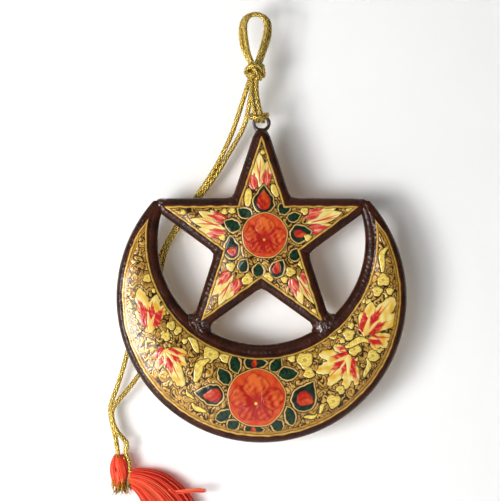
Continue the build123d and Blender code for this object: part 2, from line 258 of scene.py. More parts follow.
def lacquered_paint():
    """Hand-laid paint from the paint attribute, gilded where gilt is high, under clear lacquer."""
    finish, nodes, links, shader = new_finish("lacquered_paint")
    even(shader, {"Specular IOR Level": 0.12, "Coat Roughness": 0.07})
    gilt = stored(nodes, "gilt").outputs["Fac"]
    lacquer = stored(nodes, "lacquer").outputs["Fac"]
    brush = noise_on(nodes, links, 900, 4.0, 0.6).outputs["Fac"]
    peel = noise_on(nodes, links, 760, 2.0, 0.5).outputs["Fac"]
    links.new(stored(nodes, "paint").outputs["Color"], shader.inputs["Base Color"])
    links.new(spread(nodes, links, gilt, 0, 1, 0.0, 0.55), shader.inputs["Metallic"])
    links.new(spread(nodes, links, brush, 0.3, 0.7, 0.3, 0.5), shader.inputs["Roughness"])
    links.new(lacquer, shader.inputs["Coat Weight"])
    bump = bump_from(nodes, links, shader, peel, 0.3, 0.0002, ("Coat Normal",))
    links.new(spread(nodes, links, lacquer, LACQUER_RIM, LACQUER_FACE, 1.0, 0.18), bump.inputs["Strength"])
    return finish


def brown_lacquer():
    """Brown paint with clear lacquer pooled over it."""
    finish, nodes, links, shader = new_finish("brown_lacquer")
    even(shader, {"Specular IOR Level": 0.2, "Coat Weight": 0.9, "Coat Roughness": 0.04})
    tone = noise_on(nodes, links, 700, 3.0).outputs["Fac"]
    lump = noise_on(nodes, links, 850, 2.0).outputs["Fac"]
    stops = [(0.3, MAROON_DARK), (0.55, MAROON), (0.75, srgb(82, 42, 24))]
    links.new(ramp_of(nodes, links, tone, stops), shader.inputs["Base Color"])
    links.new(spread(nodes, links, tone, 0.3, 0.7, 0.34, 0.5), shader.inputs["Roughness"])
    bump_from(nodes, links, shader, lump, 0.7, 0.0003, ("Normal", "Coat Normal"))
    return finish


def gold_braid():
    """Metallic braid with painted light: strand tops painted bright as a highlight, the hollows between them
    painted dark brown as shade.
    """
    finish, nodes, links, shader = new_finish("gold_braid")
    even(shader, {"Metallic": 0.75})
    lay = stored(nodes, "lay").outputs["Fac"]
    speck = noise_on(nodes, links, 2600, 2.0).outputs["Fac"]
    blend = nodes.new("ShaderNodeMath")
    blend.operation = "MULTIPLY_ADD"
    blend.inputs[1].default_value = 0.8
    links.new(speck, blend.inputs[0])
    links.new(spread(nodes, links, lay, 0, 1, -0.2, 0.38), blend.inputs[2])
    # Ramp from dark brown painted shade in the hollows to a pale painted glint on the strand tops; the speck
    # noise scatters more of both
    stops = [(0.28, srgb(44, 28, 4)), (0.48, srgb(136, 98, 16)), (0.64, srgb(214, 170, 44)),
             (0.78, srgb(255, 240, 150))]
    links.new(ramp_of(nodes, links, blend.outputs["Value"], stops), shader.inputs["Base Color"])
    links.new(spread(nodes, links, speck, 0.3, 0.7, 0.16, 0.4), shader.inputs["Roughness"])
    bump_from(nodes, links, shader, speck, 0.6, 0.00016)
    return finish


def silk_thread():
    """Dyed thread whose colour follows its tone attribute, which in places also carries painted shade, with a
    soft sheen.
    """
    finish, nodes, links, shader = new_finish("silk_thread")
    even(shader, {"Specular IOR Level": 0.3, "Sheen Weight": 0.1, "Sheen Roughness": 0.4,
                  "Sheen Tint": (1.0, 0.62, 0.5, 1.0)})
    fibre = noise_on(nodes, links, 3800, 2.0).outputs["Fac"]
    stops = [(0.0, srgb(190, 30, 14)), (0.35, srgb(226, 48, 26)), (0.7, srgb(243, 74, 40)),
             (1.0, srgb(252, 124, 82))]
    links.new(ramp_of(nodes, links, stored(nodes, "tone").outputs["Fac"], stops), shader.inputs["Base Color"])
    links.new(spread(nodes, links, fibre, 0.3, 0.7, 0.42, 0.62), shader.inputs["Roughness"])
    bump_from(nodes, links, shader, fibre, 0.4, 0.0001)
    return finish


painted = lacquered_paint()
brown = brown_lacquer()
braid = gold_braid()
silk = silk_thread()


# Painting: every motif is a signed distance in millimetres, negative inside

def waves(x, z, scale, seed, count=7):
    """Smooth noise from -1 to 1: a sum of sine waves in seeded directions."""
    dice = np.random.default_rng(seed)
    total = np.zeros_like(x)
    angles = dice.uniform(0, TURN, count)
    phases = dice.uniform(0, TURN, count)
    stretches = dice.uniform(0.6, 1.7, count)
    for angle, phase, stretch in zip(angles, phases, stretches):
        total = total + np.sin((x * np.cos(angle) + z * np.sin(angle)) * TURN * stretch / scale + phase)
    return total / np.sqrt(count)


def oval(u, v, length, width):
    """Ellipse of the given axes: first-order distance from its outline."""
    half_u = length / 2
    half_v = width / 2
    k = np.sqrt((u / half_u) ** 2 + (v / half_v) ** 2) + 1e-9
    slope = np.sqrt((u / half_u ** 2) ** 2 + (v / half_v ** 2) ** 2) + 1e-9
    return k * (k - 1) / slope


def tapered(u, v, length, width, low_power, high_power):
    """Blade along u: half width follows t**low * (1-t)**high, scaled to the asked width."""
    t = u / length + 0.5
    inside = np.clip(t, 0, 1)
    peak = low_power / (low_power + high_power)
    top = peak ** low_power * (1 - peak) ** high_power
    half = width / 2 * inside ** low_power * (1 - inside) ** high_power / top
    beyond = np.maximum(np.maximum(-t, t - 1), 0) * length
    return np.where(beyond > 0, np.hypot(beyond, v), (np.abs(v) - half) * 0.85)


def drop(u, v, length, width):
    """Teardrop, round at its low end and pointed at its high end."""
    return tapered(u, v, length, width, 0.5, 0.95)


def blade(u, v, length, width):
    """Leaf pointed at both ends."""
    return tapered(u, v, length, width, 0.72, 0.9)


def bent_line(u, v, length, bend):
    """Distance from an arched line along u whose middle is lifted by bend."""
    share = np.clip(u / length, -0.5, 0.5)
    middle = bend * (1 - 4 * share ** 2)
    return np.hypot(u - share * length, v - middle)


def turned(u, v, lean):
    """Coordinates along and across a direction that leans by so many degrees."""
    angle = np.radians(lean)
    return u * np.cos(angle) + v * np.sin(angle), v * np.cos(angle) - u * np.sin(angle)


# Width over which raised paint rounds off to its edge
PAINT_EDGE = 0.35


class Painting:
    """Colours, gilding and paint height on a cloud of points in the plane of the front."""

    def __init__(self, x, z):
        self.x = x
        self.z = z
        self.colour = np.tile(GROUND, (len(x), 1))
        self.gilt = np.zeros(len(x))
        self.lift = np.zeros(len(x))

    def around(self, x, z, reach, turn=0.0):
        """Points near a place, with their coordinates along and across the motif's axis."""
        picked = np.flatnonzero((np.abs(self.x - x) < reach) & (np.abs(self.z - z) < reach))
        return picked, *turned(self.x[picked] - x, self.z[picked] - z, turn)

    def lay(self, picked, distance, colour, lift=None, gilt=0.0, soft=0.16, strength=1.0):
        """Brush a colour where the distance is negative; a lift sets the paint's height there."""
        inside = np.clip(0.5 - distance / soft, 0, 1)
        cover = inside * strength
        self.colour[picked] += (colour - self.colour[picked]) * cover[:, None]
        self.gilt[picked] += (gilt - self.gilt[picked]) * cover
        if lift is not None:
            rounded = lift * np.clip(-distance / PAINT_EDGE, 0, 1) ** 0.5
            self.lift[picked] += (rounded - self.lift[picked]) * inside


def mixed(first, second, share):
    """Two colours mixed by a share per point."""
    share = np.clip(share, 0, 1)[:, None]
    return first * (1 - share) + second * share


# Lattice pitch of the gold scrolls, growth of a spiral in one turn, and cells before the lattice repeats
SCROLL_PITCH = 2.9
SCROLL_STEP = 1.22
SCROLL_CELLS = 97


def filigree(art, half, seed):
    """Gold scrolls: each cell of a jittered, bent lattice holds a spiral whose radius grows by a step a turn.

    Half is the gold line's half width, so a wide line leaves only thin dark curls between its turns.
    """
    dice = np.random.default_rng(seed)
    cells = (SCROLL_CELLS, SCROLL_CELLS)
    shift_x = dice.uniform(0.1, 0.9, cells)
    shift_z = dice.uniform(0.1, 0.9, cells)
    phase = dice.uniform(0, TURN, cells)
    hand = dice.choice([-1.0, 1.0], cells)
    tint = dice.uniform(0, 1, cells)
    bent_x = art.x + 0.55 * waves(art.x, art.z, 5.5, seed + 6)
    bent_z = art.z + 0.55 * waves(art.x, art.z, 5.5, seed + 7)
    column = np.floor(bent_x / SCROLL_PITCH).astype(int)
    row = np.floor(bent_z / SCROLL_PITCH).astype(int)
    nearest = np.full(len(art.x), 1e9)
    second = np.full(len(art.x), 1e9)
    best = np.zeros((len(art.x), 3))
    for step_x in (-1, 0, 1):
        for step_z in (-1, 0, 1):
            i = (column + step_x) % SCROLL_CELLS
            j = (row + step_z) % SCROLL_CELLS
            dx = bent_x - (column + step_x + shift_x[i, j]) * SCROLL_PITCH
            dz = bent_z - (row + step_z + shift_z[i, j]) * SCROLL_PITCH
            away = np.hypot(dx, dz)
            closer = away < nearest
            second = np.where(closer, nearest, np.minimum(second, away))
            nearest = np.where(closer, away, nearest)
            angle = np.arctan2(dz, dx) * hand[i, j] + phase[i, j]
            best[closer] = np.stack([angle, tint[i, j], away], axis=1)[closer]
    swing = (best[:, 0] / TURN) % 1.0
    pace = SCROLL_STEP * (0.76 + 0.5 * best[:, 1])
    radius = best[:, 2] + 0.2 * waves(art.x, art.z, 2.8, seed + 1)
    line = np.full(len(art.x), 9.0)
    for lap in (0, 1, 2):
        line = np.minimum(line, np.abs(radius - (0.02 + (lap + swing - 0.35) * pace)))
    border = second - nearest
    width = half + 0.06 * waves(art.x, art.z, 6.0, seed + 2)
    distance = np.maximum(line - width, 0.22 + 0.14 * waves(art.x, art.z, 3.1, seed + 4) - border)
    everything = np.arange(len(art.x))
    light = 0.5 + 0.4 * (best[:, 1] - 0.5) + 0.3 * waves(art.x, art.z, 3.0, seed + 3)
    art.lay(everything, distance, mixed(GOLD_DEEP, GOLD_LIGHT, light), lift=0.05, gilt=0.6, soft=0.22)
    # Painted highlight: a lighter gold stripe down the middle of each gold line, as light on its raised top
    core = np.maximum(np.abs(line) - 0.09, 0.42 - border)
    art.lay(everything, core, GOLD_LIGHT, gilt=0.6, soft=0.2, strength=0.5)


# Widths of a motif's tan outline and of the dark ground line round that
OUTLINE = 0.42
HALO = 0.38


def outlined(art, picked, distance, fill):
    """Motif with a dark ground line, a tan outline, a dark inner line and a fill."""
    art.lay(picked, distance - OUTLINE - HALO, GROUND, lift=0.0)
    art.lay(picked, distance - OUTLINE, TAN_LINE, lift=0.07, gilt=0.35)
    art.lay(picked, distance, GREEN_BLACK, lift=0.03)
    art.lay(picked, distance + 0.2, fill, lift=0.05, soft=0.26)


def leaf(art, x, z, length, width, turn):
    """Dark green pointed leaf with a lighter middle and a tan outline."""
    picked, u, v = art.around(x, z, length + 1.5, turn)
    bow = v - 0.09 * width * np.sin(np.pi * u / length + x)
    distance = blade(u, bow, length, width) + 0.1 * waves(u + x, v, 2.2, 14)
    fill = mixed(GREEN_LIGHT, GREEN, 0.3 + np.abs(v) / width * 1.8 + 0.35 * waves(u, v, 2.0, 11))
    outlined(art, picked, distance, fill)


def bud(art, x, z, length, width, turn, core, core_shift=(0.0, 0.0), core_turn=0.0):
    """Green calyx with a tan outline, holding a streaked red and orange drop."""
    picked, u, v = art.around(x, z, length + 1.8, turn)
    bowl = oval(u + 0.06 * length, v, length * 0.9, width)
    beak = drop(u - 0.12 * length, v, length * 1.1, width * 0.9)
    cup = np.minimum(bowl, beak) + 0.16 * waves(u + x, v, 4.0, 16)
    outlined(art, picked, cup, mixed(GREEN, GREEN_LIGHT, 0.1 + 0.35 * waves(u, v, 3.0, 12)))
    cu, cv = turned(u - core_shift[0], v - core_shift[1], core_turn)
    distance = drop(cu, cv, core[0], core[1]) + 0.12 * waves(cu + x, cv, 2.0, 15)
    streak = 0.14 * np.sin(np.arctan2(cv, cu + 0.5 * core[0]) * 15 + x)
    warmth = 0.35 + cu / core[0] * 0.8 - cv / core[1] * 0.5 + streak + 0.22 * waves(cu, cv, 2.6, 13)
    art.lay(picked, distance - 0.16, DARK_RED, lift=0.05, strength=0.7)
    art.lay(picked, distance, mixed(RED, ORANGE, warmth), lift=0.08, soft=0.3)


# Petals: direction in degrees, distance and half width in flower radii, lightness, strength of the streaks
FLOWER_PETALS = ((238, 0.55, 0.34, 0.16, 0.24), (296, 0.55, 0.33, 0.2, 0.24), (176, 0.56, 0.38, 0.44, 0.16),
                 (-4, 0.57, 0.39, 0.48, 0.16), (93, 0.42, 0.44, 0.86, 0.14))


def flower(art, x, z, radius, turn=0.0):
    """Round flower: mottled red ground, streaked lower petals, side petals, a light upper one, a pale dot."""
    picked, u, v = art.around(x, z, radius + 1.5, turn)
    away = np.hypot(u, v)
    angle = np.arctan2(v, u)
    edge = radius * (1 + 0.012 * np.sin(5 * angle + 1.1) + 0.008 * np.sin(9 * angle))
    art.lay(picked, away - edge - 0.72, GROUND, lift=0.0)
    art.lay(picked, away - edge - 0.42, TAN_LINE, lift=0.07, gilt=0.5)
    art.lay(picked, away - edge - 0.1, RED, lift=0.04)
    rays = np.sin(angle * 19 + 2.0 * waves(u, v, radius, 21))
    ground = 0.1 + 0.6 * (away / radius) ** 4 + 0.42 * waves(u, v, radius * 0.45, 22) + 0.14 * rays
    art.lay(picked, away - edge + 0.1, mixed(ORANGE_RED, ORANGE, ground), lift=0.05, soft=0.4)
    blur = 0.07 * waves(u, v, radius * 0.5, 25)
    petal_light = srgb(216, 100, 42)
    for place, far, wide, light, streak in FLOWER_PETALS:
        pu = u - radius * far * np.cos(np.radians(place))
        pv = v - radius * far * np.sin(np.radians(place))
        toward = np.arctan2(pv, pu)
        across = np.hypot(pu, pv) / (radius * wide) * (1 + 0.04 * np.sin(3 * toward + place)) + blur
        fold = streak * np.sin(angle * 21 + place) * np.clip(across + 0.2, 0, 1)
        outward = (pu * np.cos(np.radians(place)) + pv * np.sin(np.radians(place))) / (radius * wide)
        tone = light + 0.34 * outward - 0.3 * across ** 3 + fold + 0.3 * waves(u, v, radius * 0.26, 24)
        distance = np.maximum((across - 1) * radius * wide, away - edge + 0.1)
        line = mixed(DARK_RED, RED, 0.5 + 0.6 * waves(u, v, 2.5, 23))
        art.lay(picked, distance - 0.16, line, lift=0.05, soft=0.4, strength=0.85)
        art.lay(picked, distance + 0.16, mixed(RED, petal_light, tone), lift=0.07, soft=0.6)
    heart = away - radius * (0.24 + 0.09 * np.sin(angle * 5 - 0.5) + 0.06 * rays)
    art.lay(picked, heart, RED, soft=radius * 0.3, strength=0.75)
    dot = np.hypot(u + 0.03 * radius, v + 0.2 * radius) - 0.06 * radius
    art.lay(picked, dot - 0.2, DARK_RED, strength=0.5)
    art.lay(picked, dot, CREAM_DEEP, lift=0.1)
    art.lay(picked, dot + 0.3, CREAM, lift=0.12)


# Petals: lean in degrees, then reach, width and place ahead and aside as shares of the lily
LILY_PETALS = ((0, 1.0, 0.42, 0.14, 0.0), (22, 0.86, 0.36, 0.04, 0.26), (-22, 0.86, 0.36, 0.04, -0.26),
               (40, 0.56, 0.26, -0.1, 0.34), (-40, 0.56, 0.26, -0.1, -0.34))


def lily(art, x, z, length, width, turn, seed):
    """Lily that points along its turn: cream petals ahead, two rose blotches with fingers at the foot."""
    dice = np.random.default_rng(seed)
    picked, u, v = art.around(x, z, max(length, width) * 1.1, turn)
    u = u / length
    v = v / width
    scale = 0.5 * (length + width)
    petals = []
    for lean, reach, wide, ahead, side in LILY_PETALS:
        pu = u - ahead + dice.normal(0, 0.03)
        pv = v - side + dice.normal(0, 0.03)
        along, across = turned(pu, pv, lean + dice.normal(0, 6))
        petals.append(blade(along, across, reach, wide * dice.uniform(0.9, 1.15)) * scale)
    whole = np.minimum.reduce(petals)
    art.lay(picked, whole - 0.36, GROUND, lift=0.0)
    art.lay(picked, whole, mixed(PALE, YELLOW, 0.2 + 0.5 * waves(u, v, 0.5, 31) - 0.4 * u), lift=0.1)
    for shape in petals[:3]:
        art.lay(picked, np.abs(shape + 0.04) - 0.07, CREAM_DEEP, strength=0.8)
    for side in (1, -1):
        ru, rv = turned(u + 0.27 + dice.normal(0, 0.03), v - 0.28 * side, 16 * side)
        blotch = oval(ru, rv, 0.42, 0.38) * scale
        fingers = [blotch]
        for lean, reach in ((-28, 0.34), (2, 0.46), (26, 0.36)):
            fu, fv = turned(ru, rv, lean + dice.normal(0, 6))
            fingers.append(blade(fu - reach * 0.42, fv, reach, 0.13) * scale)
        rose = np.minimum.reduce(fingers)
        streak = np.sin(np.arctan2(rv, ru + 0.36) * 15 + seed)
        fill = mixed(PINK, PINK_LIGHT, 0.2 + 0.3 * streak + 0.5 * ru + 0.25 * waves(u, v, 0.3, 32))
        art.lay(picked, blotch - 0.22, GROUND, lift=0.0, strength=0.7)
        art.lay(picked, rose, fill, lift=0.12, soft=0.3)
        gleam = bent_line(ru + 0.02, rv, 0.34, 0.06 * side) * scale - 0.12
        art.lay(picked, gleam, CREAM, lift=0.13, strength=0.8)
    fu, fv = turned(u - 0.1, v, dice.normal(0, 5))
    art.lay(picked, blade(fu + 0.18, fv, 0.8, 0.16) * scale, PALE, lift=0.12)
    for lean in (-7, 8):
        fu, fv = turned(u + 0.1, v, lean + dice.normal(0, 3))
        art.lay(picked, blade(fu - 0.16, fv, 0.82, 0.055) * scale, PINK, lift=0.11, strength=0.9)


def fan_leaf(art, x, z, turn, seed, lobes, flames, wedges, lines=()):
    """Lobed leaf: yellow lobes fan from one foot, red flames feather over them, pale wedges part those.

    Each lobe, flame, wedge and line is a row of lean from the leaf's turn in degrees, start, reach and width.
    """
    size = max(start + reach for _, start, reach, _ in lobes)
    picked, u, v = art.around(x, z, size + 1.5, turn)
    away = np.hypot(u, v) / size

    def ray(row, low_power, high_power):
        lean, start, reach, wide = row
        along, across = turned(u, v, lean)
        return tapered(along - start - reach / 2, across, reach, wide, low_power, high_power)

    teeth = 0.16 * np.sin(np.arctan2(v, u) * 27 + 2.2 * away * size) * np.clip(away * 2 - 0.3, 0, 1)
    whole = np.minimum.reduce([ray(row, 0.55, 0.5) for row in lobes]) + teeth + 0.12 * waves(u, v, 2.6, seed)
    art.lay(picked, whole - 0.36, GROUND, lift=0.0, strength=0.85)
    paleness = 0.15 + 0.6 * away + 0.5 * waves(u, v, 4.4, seed + 1)
    art.lay(picked, whole, mixed(YELLOW, PALE, paleness), lift=0.12)
    for lean, start, reach, _ in lobes:
        vein = ray((lean, start + 0.3 * reach, 0.6 * reach, 0.16), 0.5, 0.9)
        art.lay(picked, vein, CREAM_DEEP, strength=0.8)
    feather = 0.2 * np.sin(np.arctan2(v, u) * 61 + seed) * np.clip(away * 3 - 0.4, 0, 1)
    for row in flames:
        shape = ray(row, 0.42, 1.4) + feather
        tone = 1.2 * away - 0.42 + 0.4 * waves(u, v, 2.4, seed + 2) + 1.1 * feather
        art.lay(picked, shape, mixed(ROSE_RED, PINK_LIGHT, tone), lift=0.14, soft=0.36)
    for row in wedges:
        shape = ray(row, 0.3, 1.05) + 0.3 * feather
        art.lay(picked, shape, mixed(YELLOW, PALE, 0.3 + 1.6 * away), lift=0.15, soft=0.26)
    for row in lines:
        art.lay(picked, ray(row, 0.4, 0.8), ROSE_RED, lift=0.13, strength=0.9)


def pearl(art, x, z, radius):
    """Cream lump of thick paint with small darker pits and a dark edge, shifted to its lower right as a
    painted shadow.
    """
    picked, u, v = art.around(x, z, radius * 1.5 + 0.8)
    angle = np.arctan2(v, u)
    edge = radius * (1 + 0.12 * np.sin(3 * angle + 7 * x) + 0.07 * np.sin(5 * angle + 3 * z))
    away = np.hypot(u, v)
    # Painted shadow: the dark ground round the lump is offset to its lower right, as shade cast by the raised
    # paint
    art.lay(picked, np.hypot(u - 0.12, v + 0.16) - edge - 0.3, GROUND, lift=0.0)
    depth = 0.5 * away / radius + 0.3 * waves(u, v, 1.3, 51)
    art.lay(picked, away - edge, mixed(CREAM, CREAM_DEEP, depth), lift=0.18)
    if radius > 1.2:
        art.lay(picked, np.hypot(u + 0.1, v) - radius * 0.25, GOLD_DEEP, strength=0.6)
        art.lay(picked, np.abs(away - 0.62 * radius) - 0.07, GOLD, strength=0.5)


def ribbon(art, x, z, length, width, turn, bend):
    """Cream stroke, bent like an S, thick in its middle."""
    picked, u, v = art.around(x, z, length * 0.8 + 1.0, turn)
    share = np.clip(1 - (2 * u / length) ** 2, 0, 1)
    wander = v - 0.35 * bend * np.sin(TURN * u / length)
    distance = bent_line(u, wander, length, bend) - width / 2 * (0.45 + 0.55 * share)
    art.lay(picked, distance - 0.34, GROUND, lift=0.0)
    art.lay(picked, distance, mixed(CREAM, CREAM_DEEP, 0.3 + 0.45 * waves(u, v, 1.4, 61)), lift=0.17)


# Star motifs: lilies as x, z, length, width, turn, seed; leaves the same without seed; lumps as x, z, radius
STAR_LILIES = (
    (-0.7, 22.6, 11.6, 8.2, 91, 1), (-17.8, 5.0, 11.6, 9.4, 168, 2), (21.4, 6.4, 12.4, 9.6, 13, 3),
    (-12.2, -17.6, 10.6, 8.8, 240, 4), (15.0, -17.6, 11.0, 8.8, 304, 5),
)
STAR_LEAVES = (
    (-5.9, 8.9, 5.2, 3.6, 145), (-10.2, 4.6, 5.8, 4.2, 165), (8.2, 10.2, 4.6, 3.8, 50),
    (11.3, 7.5, 4.6, 2.9, 12), (11.9, -5.7, 4.8, 3.8, 20), (-1.3, -11.2, 4.8, 3.8, 80),
    (-6.4, -9.7, 4.6, 3.6, 55),
)
STAR_LUMPS = (
    (-4.9, -14.6, 1.9), (2.2, -14.0, 1.7), (-13.0, 9.2, 1.0), (-10.3, 9.6, 1.1), (15.1, 9.5, 1.3),
    (-13.7, 0.2, 1.1), (16.2, 0.1, 1.2), (14.3, -9.2, 1.4), (10.1, -11.8, 1.6), (-10.8, -10.0, 1.5),
    (-18.2, -27.0, 1.5), (18.4, -26.0, 1.2), (31.0, 10.0, 1.3), (8.0, -14.6, 1.1), (-27.5, 9.0, 0.9),
    (0.4, 30.0, 0.8),
)


# Added to the distance from the star's edge, so that it gets no tan band beside its gold border
NO_BAND = 99.0


def paint_star(art, edge):
    """Star face: scrolls, a flower ringed by buds and leaves, a lily on each arm, gold border, brown rim."""
    filigree(art, 0.4, 5)
    for row in STAR_LILIES:
        lily(art, *row)
    for x, z, length, width, turn in ((-4.7, 14.2, 6.4, 2.6, 86), (4.6, 16.6, 4.8, 2.4, 112)):
        picked, u, v = art.around(x, z, length, turn)
        shape = oval(u, v, length, width)
        art.lay(picked, shape - 0.36, GROUND, lift=0.0)
        art.lay(picked, shape, mixed(CREAM, CREAM_DEEP, 0.3 + 0.4 * waves(u, v, 1.8, 71)), lift=0.15)
    bud(art, 0.75, 13.0, 8.0, 7.0, 90, (6.8, 4.6), (0.3, 0.0))
    bud(art, -10.5, -3.8, 6.6, 5.1, 95, (3.6, 3.2), (-0.9, 0.1), 80)
    bud(art, 13.4, 1.5, 6.4, 6.1, 10, (4.6, 2.5), (0.2, -0.2), -20)
    bud(art, 5.6, -10.9, 5.6, 4.9, 60, (4.2, 2.8), (0.2, 0.5), 20)
    for row in STAR_LEAVES:
        leaf(art, *row)
    for row in STAR_LUMPS:
        pearl(art, *row)
    flower(art, 1.1, 0.9, 7.6)
    border(art, edge, edge + NO_BAND, -0.1)


# Crescent motifs, as on the star; ribbons as x, z, length, width, turn, bend
CRESCENT_LUMPS = (
    (-17.8, -40.7, 2.6), (-12.7, -41.8, 1.8), (15.2, -42.8, 2.7), (25.2, -57.1, 2.3), (30.5, -33.8, 1.9),
    (39.0, -41.2, 2.1), (42.6, -14.7, 2.1), (16.6, -47.2, 1.8), (41.4, -38.7, 1.3), (10.6, -42.2, 1.2),
    (27.7, -53.0, 1.5), (-29.5, -32.2, 1.5), (-31.6, -30.6, 1.5), (40.5, -18.6, 1.7), (44.9, -18.6, 1.2),
    (31.3, -30.7, 1.0), (44.5, -29.4, 1.2), (37.5, -22.4, 1.0), (-33.4, -34.4, 1.5), (-39.9, -14.1, 1.4),
    (32.5, -38.9, 2.1),
)
CRESCENT_RIBBONS = (
    (33.6, -37.2, 8.2, 2.2, 12, 1.2), (36.4, -45.4, 6.0, 1.7, 80, -0.9), (43.2, -7.4, 8.4, 2.1, 78, 1.2),
    (-21.0, -46.2, 8.0, 3.2, 60, 1.2), (-23.8, -37.4, 5.4, 2.3, 122, -0.5),
    (-21.9, -59.4, 5.2, 1.7, 150, 0.5), (17.2, -62.2, 4.2, 1.3, 12, -0.5),
    (21.4, -59.6, 3.6, 1.4, 60, 0.5), (-30.8, -50.4, 3.4, 1.2, 40, 0.6),
    (-25.0, -54.6, 3.6, 1.1, 130, 0.5),
)
CRESCENT_LEAVES = (
    (-9.3, -43.9, 6.4, 3.8, 112), (-13.2, -48.4, 6.4, 4.0, 115), (4.9, -44.2, 5.6, 3.6, 55),
    (9.3, -47.5, 6.6, 4.4, 15), (9.9, -62.2, 6.6, 3.6, 112), (-13.3, -62.0, 6.0, 3.6, 25),
    (-9.8, -65.4, 4.4, 3.8, 40), (5.2, -65.6, 5.0, 4.0, 130),
)


def paint_crescent(art, edge, outer):
    """Crescent face: scrolls, a flower with leaves and buds, lobed leaves up both limbs, lumps, borders."""
    filigree(art, 0.45 - 0.08 * np.clip(1 - np.abs(outer - 2.4) / 1.4, 0, 1), 9)
    dice = np.random.default_rng(17)
    for side, count in ((-1, 9), (1, 22)):
        for place in dice.uniform(0.0, 1.0, count):
            angle = np.radians(28 + 44 * place)
            reach = INNER_RADIUS + 4.6 + dice.uniform(0.02, 0.66) * (crescent_far(angle) - INNER_RADIUS - 8.5)
            x = side * reach * np.sin(angle)
            z = -1.0 - reach * np.cos(angle)
            if dice.random() < 0.5:
                pearl(art, x, z, dice.uniform(0.5, 1.0))
            else:
                length = dice.uniform(2.0, 3.6)
                width = dice.uniform(0.8, 1.2)
                ribbon(art, x, z, length, width, dice.uniform(0, 180), dice.uniform(-1.0, 1.0))
    for row in CRESCENT_LUMPS:
        pearl(art, *row)
    for row in CRESCENT_RIBBONS:
        ribbon(art, *row)
    fan_leaf(art, -39.1, -31.2, 92, 6,
             lobes=((14, 1, 13, 4.6), (-14, 1, 10.5, 4.0), (-38, 1, 8.4, 3.4), (36, 0, 7.6, 3.2),
                    (180, -1.2, 3.2, 3.2)),
             flames=((20, 0.2, 11.0, 4.6), (-8, 0.4, 8.6, 4.4), (-38, 1.0, 7.6, 4.2)),
             wedges=((6, -0.8, 6.2, 1.5), (-23, -0.6, 5.6, 1.4)))
    fan_leaf(art, -33.5, -39.2, 285, 7,
             lobes=((-75, 0, 5.5, 2.8), (-40, 0, 7.5, 3.2), (10, 1, 13, 4.8), (40, 0, 9.0, 3.6),
                    (66, 0, 7.5, 2.8)),
             flames=((-72, 0.1, 5.6, 3.6), (-38, 0.2, 6.6, 4.0), (0, 0.3, 8.8, 4.4), (36, 0.3, 7.2, 3.8),
                     (62, 0.6, 6.5, 2.4)),
             wedges=((-55, -0.4, 6.0, 1.1), (-19, -0.4, 6.4, 1.2), (18, -0.4, 7.4, 1.2),
                     (49, -0.4, 6.8, 0.9)),
             lines=((10, 3, 9.0, 0.4),))
    fan_leaf(art, 36.2, -33.3, 50, 8,
             lobes=((0, 2, 14.0, 5.4), (28, 0, 11.0, 4.2), (-24, 3, 11.5, 4.4), (48, -0.5, 8.0, 3.4)),
             flames=((42, 0.2, 8.0, 4.2), (8, 0.2, 11.0, 4.8), (-22, 1.0, 7.6, 4.2)),
             wedges=((25, -0.9, 8.0, 1.7), (-7, -0.2, 7.6, 1.6)),
             lines=((2, 2, 12.5, 0.4),))
    fan_leaf(art, 38.3, -34.9, -12, 10,
             lobes=((14, 0, 7.6, 3.2), (-14, 0, 6.6, 3.4), (-50, 0, 4.8, 2.8)),
             flames=((-20, -0.2, 5.4, 3.4), (-54, 0.0, 3.6, 2.2), (14, 0.6, 6.0, 1.0)),
             wedges=((0, -0.4, 3.2, 0.9),))
    fan_leaf(art, 30.5, -41.3, 227, 9,
             lobes=((-50, 1, 9.5, 3.6), (-20, 1, 11.5, 4.2), (8, 1, 11.5, 4.0), (38, 1, 10.5, 3.4),
                    (60, 0, 10.5, 3.6)),
             flames=((-44, 0.0, 6.4, 4.0), (-8, 0.0, 8.4, 4.8), (22, 0.0, 7.4, 4.2), (58, 0.2, 9.4, 3.4)),
             wedges=((-26, -0.5, 7.4, 1.2), (7, -0.5, 7.0, 1.1), (40, -0.5, 8.0, 1.7)),
             lines=((0, 2, 10.5, 0.4), (64, 2, 8.5, 0.45)))
    fan_leaf(art, 29.4, -39.4, 160, 11,
             lobes=((0, 0, 4.4, 2.8),), flames=((0, 0, 4.0, 2.2),), wedges=((20, -0.2, 2.0, 0.5),))
    bud(art, -2.3, -43.7, 6.8, 4.4, 0, (2.9, 1.7), (-0.2, 0.0), 75)
    bud(art, -17.6, -54.8, 8.4, 6.8, 172, (6.4, 4.4), (-0.3, 0.2), 10)
    bud(art, 14.9, -55.9, 9.2, 8.2, 60, (6.0, 5.0), (-0.1, -0.6), -80)
    bud(art, -2.9, -67.0, 5.6, 3.8, 0, (2.4, 1.6), (0.0, -0.1), 80)
    for row in CRESCENT_LEAVES:
        leaf(art, *row)
    flower(art, -1.75, -55.9, 9.8, 2.0)
    border(art, edge, outer, 0.5)


